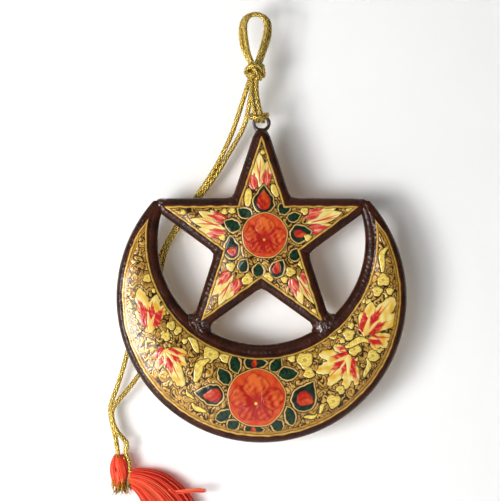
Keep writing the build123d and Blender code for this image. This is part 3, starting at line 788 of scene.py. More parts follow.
def border(art, edge, outer, inset):
    """Gold line with a dark gap along the face's edge, a tan band by the outer edge, brown paint outside."""
    everything = np.arange(len(art.x))
    wander = edge - inset * np.clip(outer - edge, 0, 1) + 0.08 * waves(art.x, art.z, 5.0, 81)
    band = outer + 0.12 * waves(art.x, art.z, 7.0, 87)
    tan = mixed(GOLD, GOLD_DEEP, 0.45 + 0.4 * waves(art.x, art.z, 2.5, 82))
    art.lay(everything, band - 1.75, GROUND, lift=0.0, strength=0.6)
    art.lay(everything, band - 1.55, tan, lift=0.03, gilt=0.5)
    art.lay(everything, wander - 0.84, GROUND, lift=0.0, strength=0.9)
    gold = mixed(GOLD, GOLD_LIGHT, 0.5 + 0.4 * waves(art.x, art.z, 3.0, 83))
    art.lay(everything, wander - 0.6, gold, lift=0.07, gilt=0.6)
    depth = 0.35 + 0.3 * waves(art.x, art.z, 9.0, 84) + 0.22 * waves(art.x, art.z, 1.7, 85)
    brown_tone = mixed(MAROON, MAROON_DARK, depth)
    art.lay(everything, wander, brown_tone, lift=0.02 * waves(art.x, art.z, 2.2, 86), gilt=0.0)


# Crescent

def crescent_far(angle):
    """Distance from the inner circle's centre to the outer circle along a ray."""
    return CENTRE_OFFSET * np.cos(angle) + np.sqrt(OUTER_RADIUS ** 2 - (CENTRE_OFFSET * np.sin(angle)) ** 2)


def rounded_rise(share):
    """Rim profile from 0 at the wall to 1 at the face: a quarter of a flattened circle."""
    share = np.clip(share, 0, 1)
    return (1 - (1 - share) ** 3.2) ** 0.8


WALL_ROWS = 3
RIM_ROWS = 12


def crescent_grid(columns, face_rows):
    """Half the crescent as a grid: rows cross from the inner to the outer circle, columns run round it.

    Each point lies on a ray from the inner circle's centre. The end columns lie on the level cut of the
    horns, which fixes the ray's greatest angle by its distance. Rows begin and end on the middle plane, climb
    the wall, round the rim and cross the crowned face.
    """
    along = np.linspace(-1, 1, columns)
    wall = np.linspace(0, 1, WALL_ROWS + 1)[:-1]
    rim = np.sin(np.linspace(0, 1, RIM_ROWS + 1)[:-1] * np.pi / 2) ** 1.6
    face = np.linspace(0, 1, face_rows)
    kind = np.repeat(np.arange(5), [WALL_ROWS, RIM_ROWS, face_rows, RIM_ROWS, WALL_ROWS])[:, None]
    share = np.concatenate([wall, rim, face, rim[::-1], wall[::-1]])[:, None]
    level = HORN_TOP - INNER_Z
    distance = np.full((len(kind), columns), INNER_RADIUS)
    for _ in range(6):
        angle = along[None, :] * np.arccos(-level / distance)
        far = crescent_far(angle)
        width = far - INNER_RADIUS
        slim = np.tanh(0.9 * width / (INNER_RIM + OUTER_RIM))
        rim_in = INNER_RIM * slim
        rim_out = OUTER_RIM * slim
        face_width = width - rim_in - rim_out
        distance = np.select(
            [kind == 0, kind == 1, kind == 2, kind == 3],
            [INNER_RADIUS + 0 * width, INNER_RADIUS + rim_in * share,
             INNER_RADIUS + rim_in + face_width * share, far - rim_out * share],
            far,
        )
    crown = CROWN_SHARE * face_width
    height = np.select(
        [(kind == 0) | (kind == 4), (kind == 1) | (kind == 3)],
        [CRESCENT_WALL * share + 0 * width, CRESCENT_WALL + CRESCENT_BEVEL * slim * rounded_rise(share)],
        CRESCENT_WALL + CRESCENT_BEVEL * slim + crown * (1 - (2 * share - 1) ** 2),
    )
    x = distance * np.sin(angle)
    z = INNER_Z - STAR_Z - distance * np.cos(angle)
    outer = far - distance - rim_out
    edge = np.minimum(distance - INNER_RADIUS - rim_in, outer)
    edge = np.where((kind == 0) | (kind == 4), -3.0, edge)
    aside = np.abs(distance - INNER_RADIUS - rim_in - 0.55 * face_width)
    edge = np.minimum(edge, (7.8 - z) * 0.3 - aside)
    return x, z, height, edge, outer


def hand_worked(x, z, side):
    """Slow unevenness of a hand-moulded surface."""
    return 0.1 * waves(x, z, 26.0, 91 + side) + 0.035 * waves(x, z, 8.0, 93 + side)


def crescent_pieces(name, side, columns, face_rows, parts):
    """Painted half crescent, cut into parts along its length."""
    x, z, height, edge, outer = crescent_grid(columns, face_rows)
    art = Painting(x.ravel(), z.ravel())
    paint_crescent(art, edge.ravel(), outer.ravel())
    worked = np.clip(height.ravel() - 0.5, 0, 1)
    rise = height.ravel() + (art.lift + hand_worked(art.x, art.z, side)) * worked
    points = np.stack([art.x + EYE_X, side * rise, art.z + STAR_Z], axis=1).reshape(*x.shape, 3)
    colour = art.colour.reshape(*x.shape, 3)
    gilt = art.gilt.reshape(x.shape)
    lacquer = np.clip(0.6 + edge, LACQUER_RIM, LACQUER_FACE)
    cuts = np.linspace(0, columns - 1, parts + 1).astype(int)
    made = []
    for number, (start, stop) in enumerate(zip(cuts[:-1], cuts[1:])):
        block = slice(start, stop + 1)
        count = stop + 1 - start
        faces = grid_faces(x.shape[0], count, flip=side > 0)
        closing = closing_faces(x.shape[0], count, flip=side > 0)
        quads = np.concatenate([faces, closing])
        values = {"gilt": gilt[:, block].ravel(), "lacquer": lacquer[:, block].ravel()}
        made.append(make_piece(f"{name}_{number + 1}", points[:, block].reshape(-1, 3), quads, painted,
                               colour[:, block].reshape(-1, 3), values, flat=len(closing)))
    return made


# Star

NOTCH_FILL = 0.45
NOTCH_SPREAD = 1.4


def star_grid(arm, count):
    """One arm as a bilinear kite between the centre, its two notches and its point, the point rounded.

    Past the tangent of the rounding the length is wrapped on the tip circle and the width follows that
    circle. Round each notch the points are pushed outwards by a bell curve, which fills its corner.
    """
    share = np.linspace(0, 1, count)
    a, b = np.meshgrid(share, share, indexing="ij")
    notch_t = STAR_NOTCH * np.cos(np.pi / 5)
    notch_w = STAR_NOTCH * np.sin(np.pi / 5)
    t = (a + b - 2 * a * b) * notch_t + a * b * STAR_RADIUS
    w = (a * (1 - b) - b * (1 - a)) * notch_w
    half_angle = np.arctan2(notch_w, STAR_RADIUS - notch_t)
    edge = (STAR_RADIUS - t) * np.sin(half_angle) - np.abs(w) * np.cos(half_angle)
    middle = STAR_REACH - STAR_TIP_ROUND
    tangent = middle + STAR_TIP_ROUND * np.sin(half_angle)
    q = np.clip((t - tangent) / (STAR_RADIUS - tangent), 0, 1)
    swing = half_angle + q * (np.pi / 2 - half_angle)
    sharp = np.maximum((STAR_RADIUS - t) * np.tan(half_angle), 1e-6)
    squeeze = np.where(q > 0, STAR_TIP_ROUND * np.cos(swing) / sharp, 1.0)
    squeeze = np.where(q > 0.999, 1.3, squeeze)
    w = w * squeeze
    t = np.where(q > 0, middle + STAR_TIP_ROUND * np.sin(swing), t)
    heading = np.pi / 2 + arm * TURN / 5
    x = t * np.cos(heading) + w * np.sin(heading)
    z = t * np.sin(heading) - w * np.cos(heading)
    for notch in (heading - np.pi / 5, heading + np.pi / 5):
        gap = np.hypot(x - STAR_NOTCH * np.cos(notch), z - STAR_NOTCH * np.sin(notch))
        filled = NOTCH_FILL * np.exp(-(gap / NOTCH_SPREAD) ** 2)
        x = x + filled * np.cos(notch)
        z = z + filled * np.sin(notch)
    return x, z, np.maximum(edge, 0)


def star_height(edge):
    """Wall, rounded rim and a dome that rises towards the middle."""
    rim = STAR_WALL + STAR_BEVEL * rounded_rise(edge / STAR_RIM)
    dome = STAR_DOME * np.sin(np.clip((edge - STAR_RIM) / (STAR_APOTHEM - STAR_RIM), 0, 1) * np.pi / 2)
    return rim + dome


def star_piece(name, side, arms, count):
    """Painted half star of whole arms with its wall, closed on the middle plane and beside missing arms."""
    points = []
    quads = []
    colours = []
    gilts = []
    lacquers = []
    chains = []
    start = 0
    for arm in arms:
        x, z, edge = star_grid(arm, count)
        art = Painting(x.ravel(), z.ravel())
        paint_star(art, edge.ravel() - STAR_RIM)
        rise = star_height(edge.ravel()) + art.lift + hand_worked(art.x, art.z, side)
        top = np.stack([art.x + EYE_X, side * rise, art.z + STAR_Z], axis=1)
        points.append(top)
        quads.append(grid_faces(count, count, flip=side > 0, start=start))
        colours.append(art.colour)
        gilts.append(art.gilt)
        lacquers.append(np.clip(0.6 + edge.ravel() - STAR_RIM, LACQUER_RIM, LACQUER_FACE))
        index = np.arange(count * count).reshape(count, count)
        outline = np.concatenate([index[-1, :], index[::-1, -1][1:]])
        steps = np.linspace(1, 0, 5)
        wall = np.stack([top[outline] * [1, share, 1] for share in steps])
        points.append(wall.reshape(-1, 3))
        wall_start = start + len(top)
        quads.append(grid_faces(len(steps), len(outline), flip=side > 0, start=wall_start))
        colours.append(np.tile(art.colour[outline], (len(steps), 1)))
        gilts.append(np.zeros(len(outline) * len(steps)))
        lacquers.append(np.full(len(outline) * len(steps), LACQUER_RIM))
        wall_index = wall_start + np.arange(len(outline) * len(steps)).reshape(len(steps), len(outline))
        heading = np.pi / 2 + arm * TURN / 5
        chains.append((wall_index[-1], (0, -side, 0)))
        for hand, seam, end in ((-1, index[:, 0], 0), (1, index[0, :], -1)):
            if (arm + hand) % 5 not in arms:
                away = heading + hand * (np.pi / 5 + np.pi / 2)
                chain = np.concatenate([start + seam, wall_index[1:, end]])
                chains.append((chain, (np.cos(away), 0, np.sin(away))))
        start += len(top) + len(outline) * len(steps)
    points = np.concatenate([*points, [[EYE_X, 0, STAR_Z]]])
    closing = np.concatenate([fan_faces(start, chain, points, outward) for chain, outward in chains])
    colours = np.concatenate([*colours, [MAROON]])
    values = {"gilt": np.concatenate([*gilts, [0]]), "lacquer": np.concatenate([*lacquers, [LACQUER_RIM]])}
    quads = np.concatenate([*quads, closing])
    return make_piece(name, points, quads, painted, colours, values, weld=True, flat=len(closing))


FILLET_ROWS = 25
FILLET_SIDES = 48
FILLET_REACH = 34.3
FILLET_DROP = 1.1
FILLET_HALF = (2.9, 3.3, 1.95)


def horn_fillet(name, side):
    """Putty that joins the star's arm to the horn: a ball made boxy by a low power of cosine and sine."""
    lift = np.linspace(-np.pi / 2, np.pi / 2, FILLET_ROWS)
    turn = np.arange(FILLET_SIDES) / FILLET_SIDES * TURN
    half_x, half_y, half_z = FILLET_HALF

    def squared(value):
        return np.sign(value) * np.abs(value) ** 0.55

    ring = squared(np.cos(lift))[:, None]
    x = EYE_X + side * FILLET_REACH + half_x * ring * squared(np.cos(turn))[None, :]
    y = half_y * ring * squared(np.sin(turn))[None, :]
    z = np.repeat((HORN_TOP - FILLET_DROP + half_z * squared(np.sin(lift)))[:, None], FILLET_SIDES, axis=1)
    points = np.stack([x, y, z + 0.1 * waves(x, y, 5.0, 95)], axis=-1).reshape(-1, 3)
    return make_piece(name, points, ring_faces(FILLET_ROWS, FILLET_SIDES, flip=True), brown, weld=True)


JOINT_REACH = 37.9
JOINT_SPREAD = 5.2
JOINT_FILLET = 4.6
JOINT_SIDES = 120


def joint_depths(x, z, heading):
    """Depths inside the star's point and the crescent's inner edge, and inside both with their corner filled.

    The filled depth is the greater of the two, raised by a share of the fillet that falls off with the square
    of how far they differ.
    """
    half_angle = np.arctan2(STAR_NOTCH * np.sin(np.pi / 5), STAR_RADIUS - STAR_NOTCH * np.cos(np.pi / 5))
    middle = STAR_REACH - STAR_TIP_ROUND
    t = x * np.cos(heading) + z * np.sin(heading)
    w = x * np.sin(heading) - z * np.cos(heading)
    straight = (STAR_RADIUS - t) * np.sin(half_angle) - np.abs(w) * np.cos(half_angle)
    tip = STAR_TIP_ROUND - np.hypot(t - middle, w)
    star = np.where(t > middle + STAR_TIP_ROUND * np.sin(half_angle), tip, straight)
    crescent = np.hypot(x, z - (INNER_Z - STAR_Z)) - INNER_RADIUS
    near = np.clip(1 - np.abs(star - crescent) / JOINT_FILLET, 0, 1)
    return star, crescent, np.maximum(star, crescent) + JOINT_FILLET / 4 * near ** 2


def tip_joint(name, arm, rough):
    """Lacquered glue round a lower point of the star: rings about the joint, front and back alike.

    Each ray runs to where the filled depth ends or to the patch's edge. The height is the rim's profile over
    that depth, swollen by a bell curve and small waves in the middle, and sunk below both faces where they
    are painted.
    """
    heading = np.pi / 2 + arm * TURN / 5
    turn = np.arange(JOINT_SIDES) / JOINT_SIDES * TURN
    middle_x = JOINT_REACH * np.cos(heading)
    middle_z = JOINT_REACH * np.sin(heading)
    probe = np.linspace(0, JOINT_SPREAD, 260)[:, None]
    depth = joint_depths(middle_x + probe * np.cos(turn), middle_z + probe * np.sin(turn), heading)[2]
    ended = np.cumsum(depth < 0, axis=0) > 0
    reach = np.where(ended, 0, probe).max(axis=0)
    away = np.linspace(0, 1, 40)[:, None] * reach
    x = middle_x + away * np.cos(turn)
    z = middle_z + away * np.sin(turn)
    star, crescent, depth = joint_depths(x, z, heading)
    bell = np.exp(-(away / 2.7) ** 2)
    lumps = waves(x, z, 2.6, 104 + arm, 11) + 0.55 * waves(x, z, 1.4, 110 + arm, 11)
    sunk = 1.6 * np.clip((star - 1.9) / 1.2, 0, 1) + 1.6 * np.clip((crescent - 2.3) / 1.2, 0, 1)
    sunk = sunk + 0.5 * (away / JOINT_SPREAD) ** 3
    swollen = (0.3 + 0.3 * rough * lumps) * bell
    height = STAR_WALL + CRESCENT_BEVEL * rounded_rise(depth / STAR_RIM) + swollen - sunk
    rows = [(x, z, -height), *((x[-1:], z[-1:], -share * height[-1:]) for share in (0.5, 0, -0.5)),
            (x[::-1], z[::-1], height[::-1])]
    x, z, y = (np.concatenate(parts) for parts in zip(*rows))
    points = np.stack([x + EYE_X, y, z + STAR_Z], axis=-1)
    return make_piece(name, points.reshape(-1, 3), ring_faces(len(x), JOINT_SIDES), brown, weld=True)


# Cords

def nurbs_line(name, points, detail=24):
    """Points read from the cord's NURBS spline, whose control points are the route's points."""
    data = bpy.data.curves.new(name, "CURVE")
    data.dimensions = "3D"
    data.resolution_u = detail
    spline = data.splines.new("NURBS")
    spline.points.add(len(points) - 1)
    spline.points.foreach_set("co", np.column_stack([np.array(points), np.ones(len(points))]).ravel())
    spline.use_endpoint_u = True
    spline.order_u = 3
    holder = bpy.data.objects.new(name, data)
    bpy.context.collection.objects.link(holder)
    mesh = bpy.data.meshes.new_from_object(holder)
    line = np.empty(len(mesh.vertices) * 3)
    mesh.vertices.foreach_get("co", line)
    bpy.data.objects.remove(holder)
    bpy.data.curves.remove(data)
    bpy.data.meshes.remove(mesh)
    line = line.reshape(-1, 3)
    keep = np.concatenate([[True], np.linalg.norm(np.diff(line, axis=0), axis=1) > 1e-7])
    return line[keep]


def even_line(line, step):
    """The same line with points an even step apart, and their distances along it."""
    run = np.concatenate([[0], np.cumsum(np.linalg.norm(np.diff(line, axis=0), axis=1))])
    count = max(int(run[-1] / step), 4) + 1
    places = np.linspace(0, run[-1], count)
    return np.stack([np.interp(places, run, line[:, axis]) for axis in range(3)], axis=1), places


BRAID_STRANDS = 6
BRAID_PITCH = 11.0
BRAID_STEP = 0.12
BRAID_SIDES = 42


def braided_tube(name, line, radius, side_hint, far_share=1.0):
    """Braid along a line: six strands wind each way and pass over and under each other.

    Each set is a helical wave round the tube. Strands are numbered by whole waves, and where the two numbers
    add up to an even sum the first set lies on top, elsewhere the second. The ends are rounded off, and the
    tube thins evenly over its second half to far_share of its radius.
    """
    centres, run = even_line(line, BRAID_STEP)
    smooth = centres.copy()
    for _ in range(3):
        smooth[1:-1] = (smooth[:-2] + 2 * smooth[1:-1] + smooth[2:]) / 4
    along = np.gradient(smooth, axis=0)
    along /= np.linalg.norm(along, axis=1)[:, None]
    side = np.cross(along, np.array(side_hint, dtype=float))
    side /= np.linalg.norm(side, axis=1)[:, None]
    other = np.cross(along, side)
    angle = np.arange(BRAID_SIDES) / BRAID_SIDES * TURN
    round_share = BRAID_STRANDS * angle[None, :] / TURN
    first = round_share + BRAID_STRANDS * run[:, None] / BRAID_PITCH
    second = round_share - BRAID_STRANDS * run[:, None] / BRAID_PITCH
    over = (np.floor(first + 0.5) + np.floor(second + 0.5)) % 2 == 0
    upper = np.where(over, first, second)
    ridge = np.cos(np.pi * (upper - np.round(upper)))
    # Lay is 1 on a strand's top and 0 in the hollows: it raises the strands, and the braid finish paints it
    # as highlight on the tops and shade in the hollows
    lay = np.clip(ridge, 0, 1) ** 1.2
    swell = radius * (0.8 + 0.23 * lay)
    thin = 1 - (1 - far_share) * np.clip(2 * run / run[-1] - 1, 0, 1)
    close = np.minimum(run, run[-1] - run)
    cap = np.sqrt(np.clip(1 - (1 - np.clip(close / radius, 0, 1)) ** 2, 0, 1))
    swell = swell * thin[:, None] * cap[:, None]
    points = smooth[:, None, :] + swell[:, :, None] * (
        np.cos(angle)[None, :, None] * side[:, None, :] + np.sin(angle)[None, :, None] * other[:, None, :])
    piece = make_piece(name, points.reshape(-1, 3), ring_faces(len(run), BRAID_SIDES, flip=True), braid,
                       values={"lay": lay.ravel()}, weld=True)
    return piece, smooth, run[-1]


LOOP_REAR = [
    (-1.5, 0.95, -14.9), (-2.3, 0.95, -13.2), (-3.7, 0.95, -10.8), (-5.2, 0.95, -7.4),
    (-5.75, 0.95, -2.6), (-5.2, 0.95, 1.6), (-2.6, 0.95, 3.75), (1.4, 0.95, 3.75), (4.1, 0.95, 1.7),
    (4.6, 0.95, -2.0), (3.8, 0.95, -5.9), (2.4, 0.95, -9.6), (1.1, 0.95, -13.2), (0.2, 0.95, -14.9),
]
LOOP_FRONT = [
    (-1.2, -0.95, -14.9), (-1.75, -0.95, -13.2), (-3.1, -0.95, -10.2), (-3.7, -0.95, -6.4),
    (-4.3, -0.95, -2.4), (-4.2, -0.95, 1.2), (-2.2, -0.95, 3.7), (1.2, -0.95, 3.7), (3.3, -0.95, 1.3),
    (3.3, -0.95, -2.2), (2.3, -0.95, -6.3), (1.2, -0.95, -9.8), (0.05, -0.95, -13.2),
    (-0.5, -0.95, -14.9),
]
EYE_HITCH = [
    (-1.85, -0.9, -17.6), (-1.77, -0.99, -19.4), (-1.95, -1.19, -23.4), (-1.3, -1.6, -28.35),
    (0.2, -1.7805, -33.9), (0.6, 1.7805, -33.7305), (0.3, 1.7805, -31.75), (-2.3, 1.4244, -31.6),
    (-2.75, -3.4, -32.9), (3.3, -3.4, -32.2), (3.75, 1.4244, -31.3), (2.3, 1.7805, -31.55),
    (2.3, 1.7805, -33.7305), (1.95, -1.7805, -33.9), (0.55, -1.7805, -28.35), (-0.3, -1.19, -23.4),
    (-0.13, -0.99, -19.4), (-0.1, -0.9, -17.6),
]
TAIL_LONG = [
    (-2.1, 0.9, -17.7), (-2.6, 1.0, -19.4), (-4.6, 1.8, -25.45), (-6.75, 3.2, -32.22),
    (-9.1, 4.6, -38.82), (-12.1, 5.4, -45.15), (-15.4, 6.2, -51.44), (-20.4, 7.6, -58.64),
    (-28.5, 9.5, -70.08), (-33.7, 9.6, -79.3), (-39.5, 8.8, -94.71), (-45.3, 8.6, -112.76),
    (-47.3, 8.8, -120.78), (-49.6, 8.9, -127.79), (-51.4, 8.95, -132.36), (-52.2, 8.9, -135.8),
    (-51.5, 8.8, -140.46), (-50.1, 8.4, -145.5), (-49.4, 8.05, -150.3),
]
TAIL_SHORT = [
    (-0.6, 0.9, -17.7), (-0.75, 1.0, -19.4), (-2.0, 1.5, -23.66), (-2.95, 2.4, -29.14),
    (-3.91, 3.8, -34.11), (-6.3, 5.0, -39.1), (-9.8, 5.6, -44.83), (-14.3, 6.2, -52.6),
    (-19.7, 6.9, -59.77), (-28.1, 7.7, -71.09), (-33.1, 7.8, -80.0), (-34.8, 8.2, -93.19),
    (-36.1, 8.2, -105.76), (-38.1, 8.0, -116.0), (-41.4, 7.6, -123.0), (-45.6, 7.2, -128.5),
    (-49.3, 7.1, -132.6), (-51.6, 7.05, -135.9), (-51.0, 7.0, -140.44), (-49.2, 7.2, -144.0),
    (-46.6, 7.6, -146.6), (-45.9, 7.8, -148.5), (-46.4, 8.05, -150.3),
]
CORD_END = [
    (-46.55, 8.0, -149.0), (-46.4, 8.05, -150.4), (-46.3, 8.0, -151.6), (-45.2, 7.65, -155.05),
    (-44.8, 7.05, -158.85), (-45.6, 6.25, -162.25),
]
TAIL_NECK = [
    (-49.55, 8.1, -149.0), (-49.4, 8.05, -150.4), (-49.1, 8.05, -152.4), (-48.9, 8.05, -154.0),
]
KNOT_STRANDS = {
    "loop_knot_arch": [
        (-3.9, 0.6, -16.9), (-3.8, -1.6, -16.2), (-2.9, -3.0, -15.0), (-1.2, -3.5, -14.2),
        (0.6, -3.3, -14.5), (1.9, -2.7, -15.7), (2.4, -1.6, -17.2), (1.9, 0.2, -18.5),
    ],
    "loop_knot_low": [
        (-3.5, 1.4, -15.3), (-4.0, -0.5, -16.4), (-3.5, -2.2, -17.4), (-1.9, -3.1, -17.7),
        (-0.2, -3.0, -17.0), (1.4, -2.2, -16.3), (2.4, -0.4, -15.6), (1.7, 1.4, -15.1),
    ],
    "loop_knot_cross": [
        (-2.5, -1.4, -13.6), (-2.0, -2.6, -14.6), (-0.9, -3.6, -15.8), (0.5, -3.4, -17.3),
        (1.3, -2.0, -18.6), (1.0, -0.4, -19.3),
    ],
    "loop_knot_back": [
        (-3.7, 0.2, -15.0), (-3.2, 2.3, -15.6), (-1.2, 3.3, -16.2), (1.2, 2.6, -16.9), (2.4, 0.5, -17.3),
        (2.2, -1.2, -17.6),
    ],
    "loop_knot_turn": [
        (-3.4, 0.0, -17.9), (-2.9, 2.0, -17.7), (-1.0, 3.1, -17.0), (1.0, 2.7, -15.6), (2.2, 0.9, -14.7),
        (1.7, -0.9, -14.2),
    ],
}


KNOT_X = -0.9
KNOT_TOP = -13.4
KNOT_HEIGHT = 5.8
KNOT_RADIUS = 1.95


def knot_core():
    """Bundle of four strands twisted through the knot: a four-lobed section that turns as it rises."""
    rows = 40
    sides = 48
    rise = np.linspace(0, 1, rows)
    angle = np.arange(sides) / sides * TURN
    lobes = np.abs(np.cos(2 * (angle[None, :] - rise[:, None] * 1.6)))
    close = np.sqrt(np.clip(1 - (2 * rise - 1) ** 8, 0.0, 1))[:, None]
    radius = KNOT_RADIUS * (0.72 + 0.28 * lobes ** 0.6) * close
    x = KNOT_X + radius * np.cos(angle)[None, :]
    y = radius * np.sin(angle)[None, :]
    z = np.repeat((KNOT_TOP - KNOT_HEIGHT * rise)[:, None], sides, axis=1)
    points = np.stack([x, y, z], axis=-1).reshape(-1, 3)
    # Lay follows the lobes, so the braid finish paints the grooves between them dark as painted shade
    return make_piece("loop_knot_core", points, ring_faces(rows, sides), braid,
                      values={"lay": 0.6 * lobes.ravel() ** 0.6}, weld=True)


# Hanging eye

RING_RADIUS = 2.6
RING_WIRE = 0.62
RING_STEPS = 96
RING_SIDES = 24


def eye_ring():
    """Wire ring thick with lacquer: a torus whose section swells slowly and towards the star."""
    turn = np.arange(RING_STEPS) / RING_STEPS * TURN
    around = np.arange(RING_SIDES) / RING_SIDES * TURN
    low = np.clip(-np.sin(turn), 0, 1)
    wire = RING_WIRE * (1 + 0.1 * np.sin(turn * 3 + 1.0) + 0.05 * np.sin(turn * 7)) + 0.3 * low ** 4
    out = RING_RADIUS + wire[:, None] * np.cos(around)[None, :]
    x = EYE_X + out * np.cos(turn)[:, None]
    y = wire[:, None] * np.sin(around)[None, :]
    z = EYE_Z + out * np.sin(turn)[:, None]
    index = np.arange(RING_STEPS * RING_SIDES).reshape(RING_STEPS, RING_SIDES)
    ahead = np.roll(index, -1, axis=0)
    corners = [index, np.roll(index, -1, axis=1), np.roll(ahead, -1, axis=1), ahead]
    quads = np.stack(corners, axis=-1).reshape(-1, 4)
    return make_piece("hanging_eye_ring", np.stack([x, y, z], axis=-1).reshape(-1, 3), quads, brown)


def eye_neck():
    """Lacquer pooled between the ring and the star's upper point: an oval section that flares downwards."""
    rows = 30
    sides = 48
    drop_share = np.linspace(0, 1, rows)
    around = np.arange(sides) / sides * TURN
    flare = drop_share ** 0.6
    half_x = (1.5 + 1.55 * flare) * np.sqrt(np.clip(1 - (1 - np.clip(drop_share * 9, 0, 1)) ** 2, 0, 1))
    half_x[-1] = 0
    half_y = half_x * (0.85 - 0.1 * flare)
    x = EYE_X + half_x[:, None] * np.cos(around)[None, :]
    y = half_y[:, None] * np.sin(around)[None, :]
    z = np.repeat((EYE_Z - RING_RADIUS + 0.35 - 2.6 * drop_share)[:, None], sides, axis=1)
    points = np.stack([x, y, z], axis=-1).reshape(-1, 3)
    return make_piece("hanging_eye_neck", points, ring_faces(rows, sides), brown, weld=True)


# Threads

def thread_bundle(name, paths, radius, tone, material, label="tone", sides=5):
    """Many thin round threads at once: paths is threads by points by three; ends taper to a point."""
    along = np.gradient(paths, axis=1)
    along /= np.linalg.norm(along, axis=2)[:, :, None] + 1e-9
    hint = np.array([0.31, 0.93, 0.2])
    side = np.cross(along, hint)
    side /= np.linalg.norm(side, axis=2)[:, :, None] + 1e-9
    other = np.cross(along, side)
    angle = np.arange(sides) / sides * TURN
    count, length = paths.shape[:2]
    share = np.linspace(0, 1, length)
    taper = np.clip(np.minimum(share, 1 - share) * 30, 0, 1)
    reach = radius[:, None] * taper[None, :]
    cosine = np.cos(angle)[:, None]
    sine = np.sin(angle)[:, None]
    ring = cosine * side[:, :, None, :] + sine * other[:, :, None, :]
    points = paths[:, :, None, :] + reach[:, :, None, None] * ring
    single = ring_faces(length, sides, flip=True)
    offset = (np.arange(count) * length * sides)[:, None, None]
    quads = (single[None] + offset).reshape(-1, 4)
    shades = np.repeat(tone, length * sides)
    return make_piece(name, points.reshape(-1, 3), quads, material, values={label: shades}, weld=True)


TASSEL_Y = 8.05
HEAD_X = -48.8
HEAD_TOP = -151.45
HEAD_LOW = -163.45
DIMPLE_TURN = np.radians(251)
DIMPLE_DROP = 0.44


def head_radius(share):
    """Almond from 1.2 mm at its ends to 3.2 mm a little above its middle."""
    return 1.2 + 2.0 * np.sin(np.pi * share ** 0.88) ** 0.85


def head_level(share):
    """Height of a place on the head, counted as a share of the way down."""
    return HEAD_TOP - 0.05 + (HEAD_LOW - HEAD_TOP + 0.1) * share


def dimple(angle, share):
    """Hollow where the head's threads part: a bell round one place on the front."""
    return np.exp(-((angle - DIMPLE_TURN) / 0.13) ** 2 - ((share - DIMPLE_DROP) / 0.07) ** 2)


def tassel_head():
    """Skein bound round the cord ends: threads run from top to bottom over an almond, a little twisted."""
    dice = np.random.default_rng(3)
    count = 74
    share = np.linspace(0.0, 1.0, 30)
    start = np.arange(count) / count * TURN + dice.normal(0, 0.04, count)
    twist = dice.normal(0.75, 0.22, count)
    wobble = 0.06 * np.sin(5 * share[None, :] + start[:, None] * 3)
    angle = start[:, None] + twist[:, None] * (share[None, :] - 0.5) + wobble
    loose = dice.uniform(-0.1, 0.08, count)[:, None] + 0.06 * np.sin(share[None, :] * 8 + start[:, None] * 3)
    radius = head_radius(share)[None, :] + loose - 0.14 - 1.2 * dimple(angle % TURN, share[None, :])
    x = HEAD_X + radius * np.cos(angle)
    y = TASSEL_Y + radius * np.sin(angle)
    z = np.repeat(head_level(share)[None, :], count, axis=0)
    return thread_bundle("tassel_head_threads", np.stack([x, y, z], axis=-1), dice.uniform(0.2, 0.3, count),
                         np.clip(dice.normal(0.55, 0.22, count), 0, 1), silk)


def tassel_core():
    """Solid heart of the head under its threads, dented where the threads part and painted darker there as
    shade.
    """
    rows = 40
    sides = 64
    share = np.linspace(0, 1, rows)
    angle = np.arange(sides) / sides * TURN
    close = np.sqrt(np.clip(1 - (2 * share - 1) ** 12, 0, 1))
    pit = dimple(angle[None, :], share[:, None])
    radius = ((head_radius(share) - 0.3) * close)[:, None] - 1.4 * pit * close[:, None]
    x = HEAD_X + radius * np.cos(angle)[None, :]
    y = TASSEL_Y + radius * np.sin(angle)[None, :]
    z = np.repeat(head_level(share)[:, None], sides, axis=1)
    points = np.stack([x, y, z], axis=-1).reshape(-1, 3)
    # Tone: thread-like stripes, lower than on the head's threads, and darker in the dent as painted shade in
    # the hollow
    tone = (0.25 + 0.2 * np.sin(angle * 23)[None, :] - 0.5 * pit).ravel()
    quads = ring_faces(rows, sides)
    return make_piece("tassel_head_core", points, quads, silk, values={"tone": tone}, weld=True)


SKIRT_ROOT = (-46.1, TASSEL_Y, -160.0)
SKIRT_THROW = 19.6
SKIRT_DROP = 29.7
SKIRT_TALL = 9.1
SKIRT_DEEP = 3.7
GOLDEN_TURN = 2.39996


def skirt_frame(tau):
    """Middle line of the skirt on a quarter of an ellipse, with the direction across it."""
    x = SKIRT_ROOT[0] + SKIRT_THROW * np.sin(tau)
    z = SKIRT_ROOT[2] - SKIRT_DROP * (1 - np.cos(tau))
    along_x = SKIRT_THROW * np.cos(tau)
    along_z = -SKIRT_DROP * np.sin(tau)
    size = np.hypot(along_x, along_z)
    return x, z, -along_z / size, along_x / size


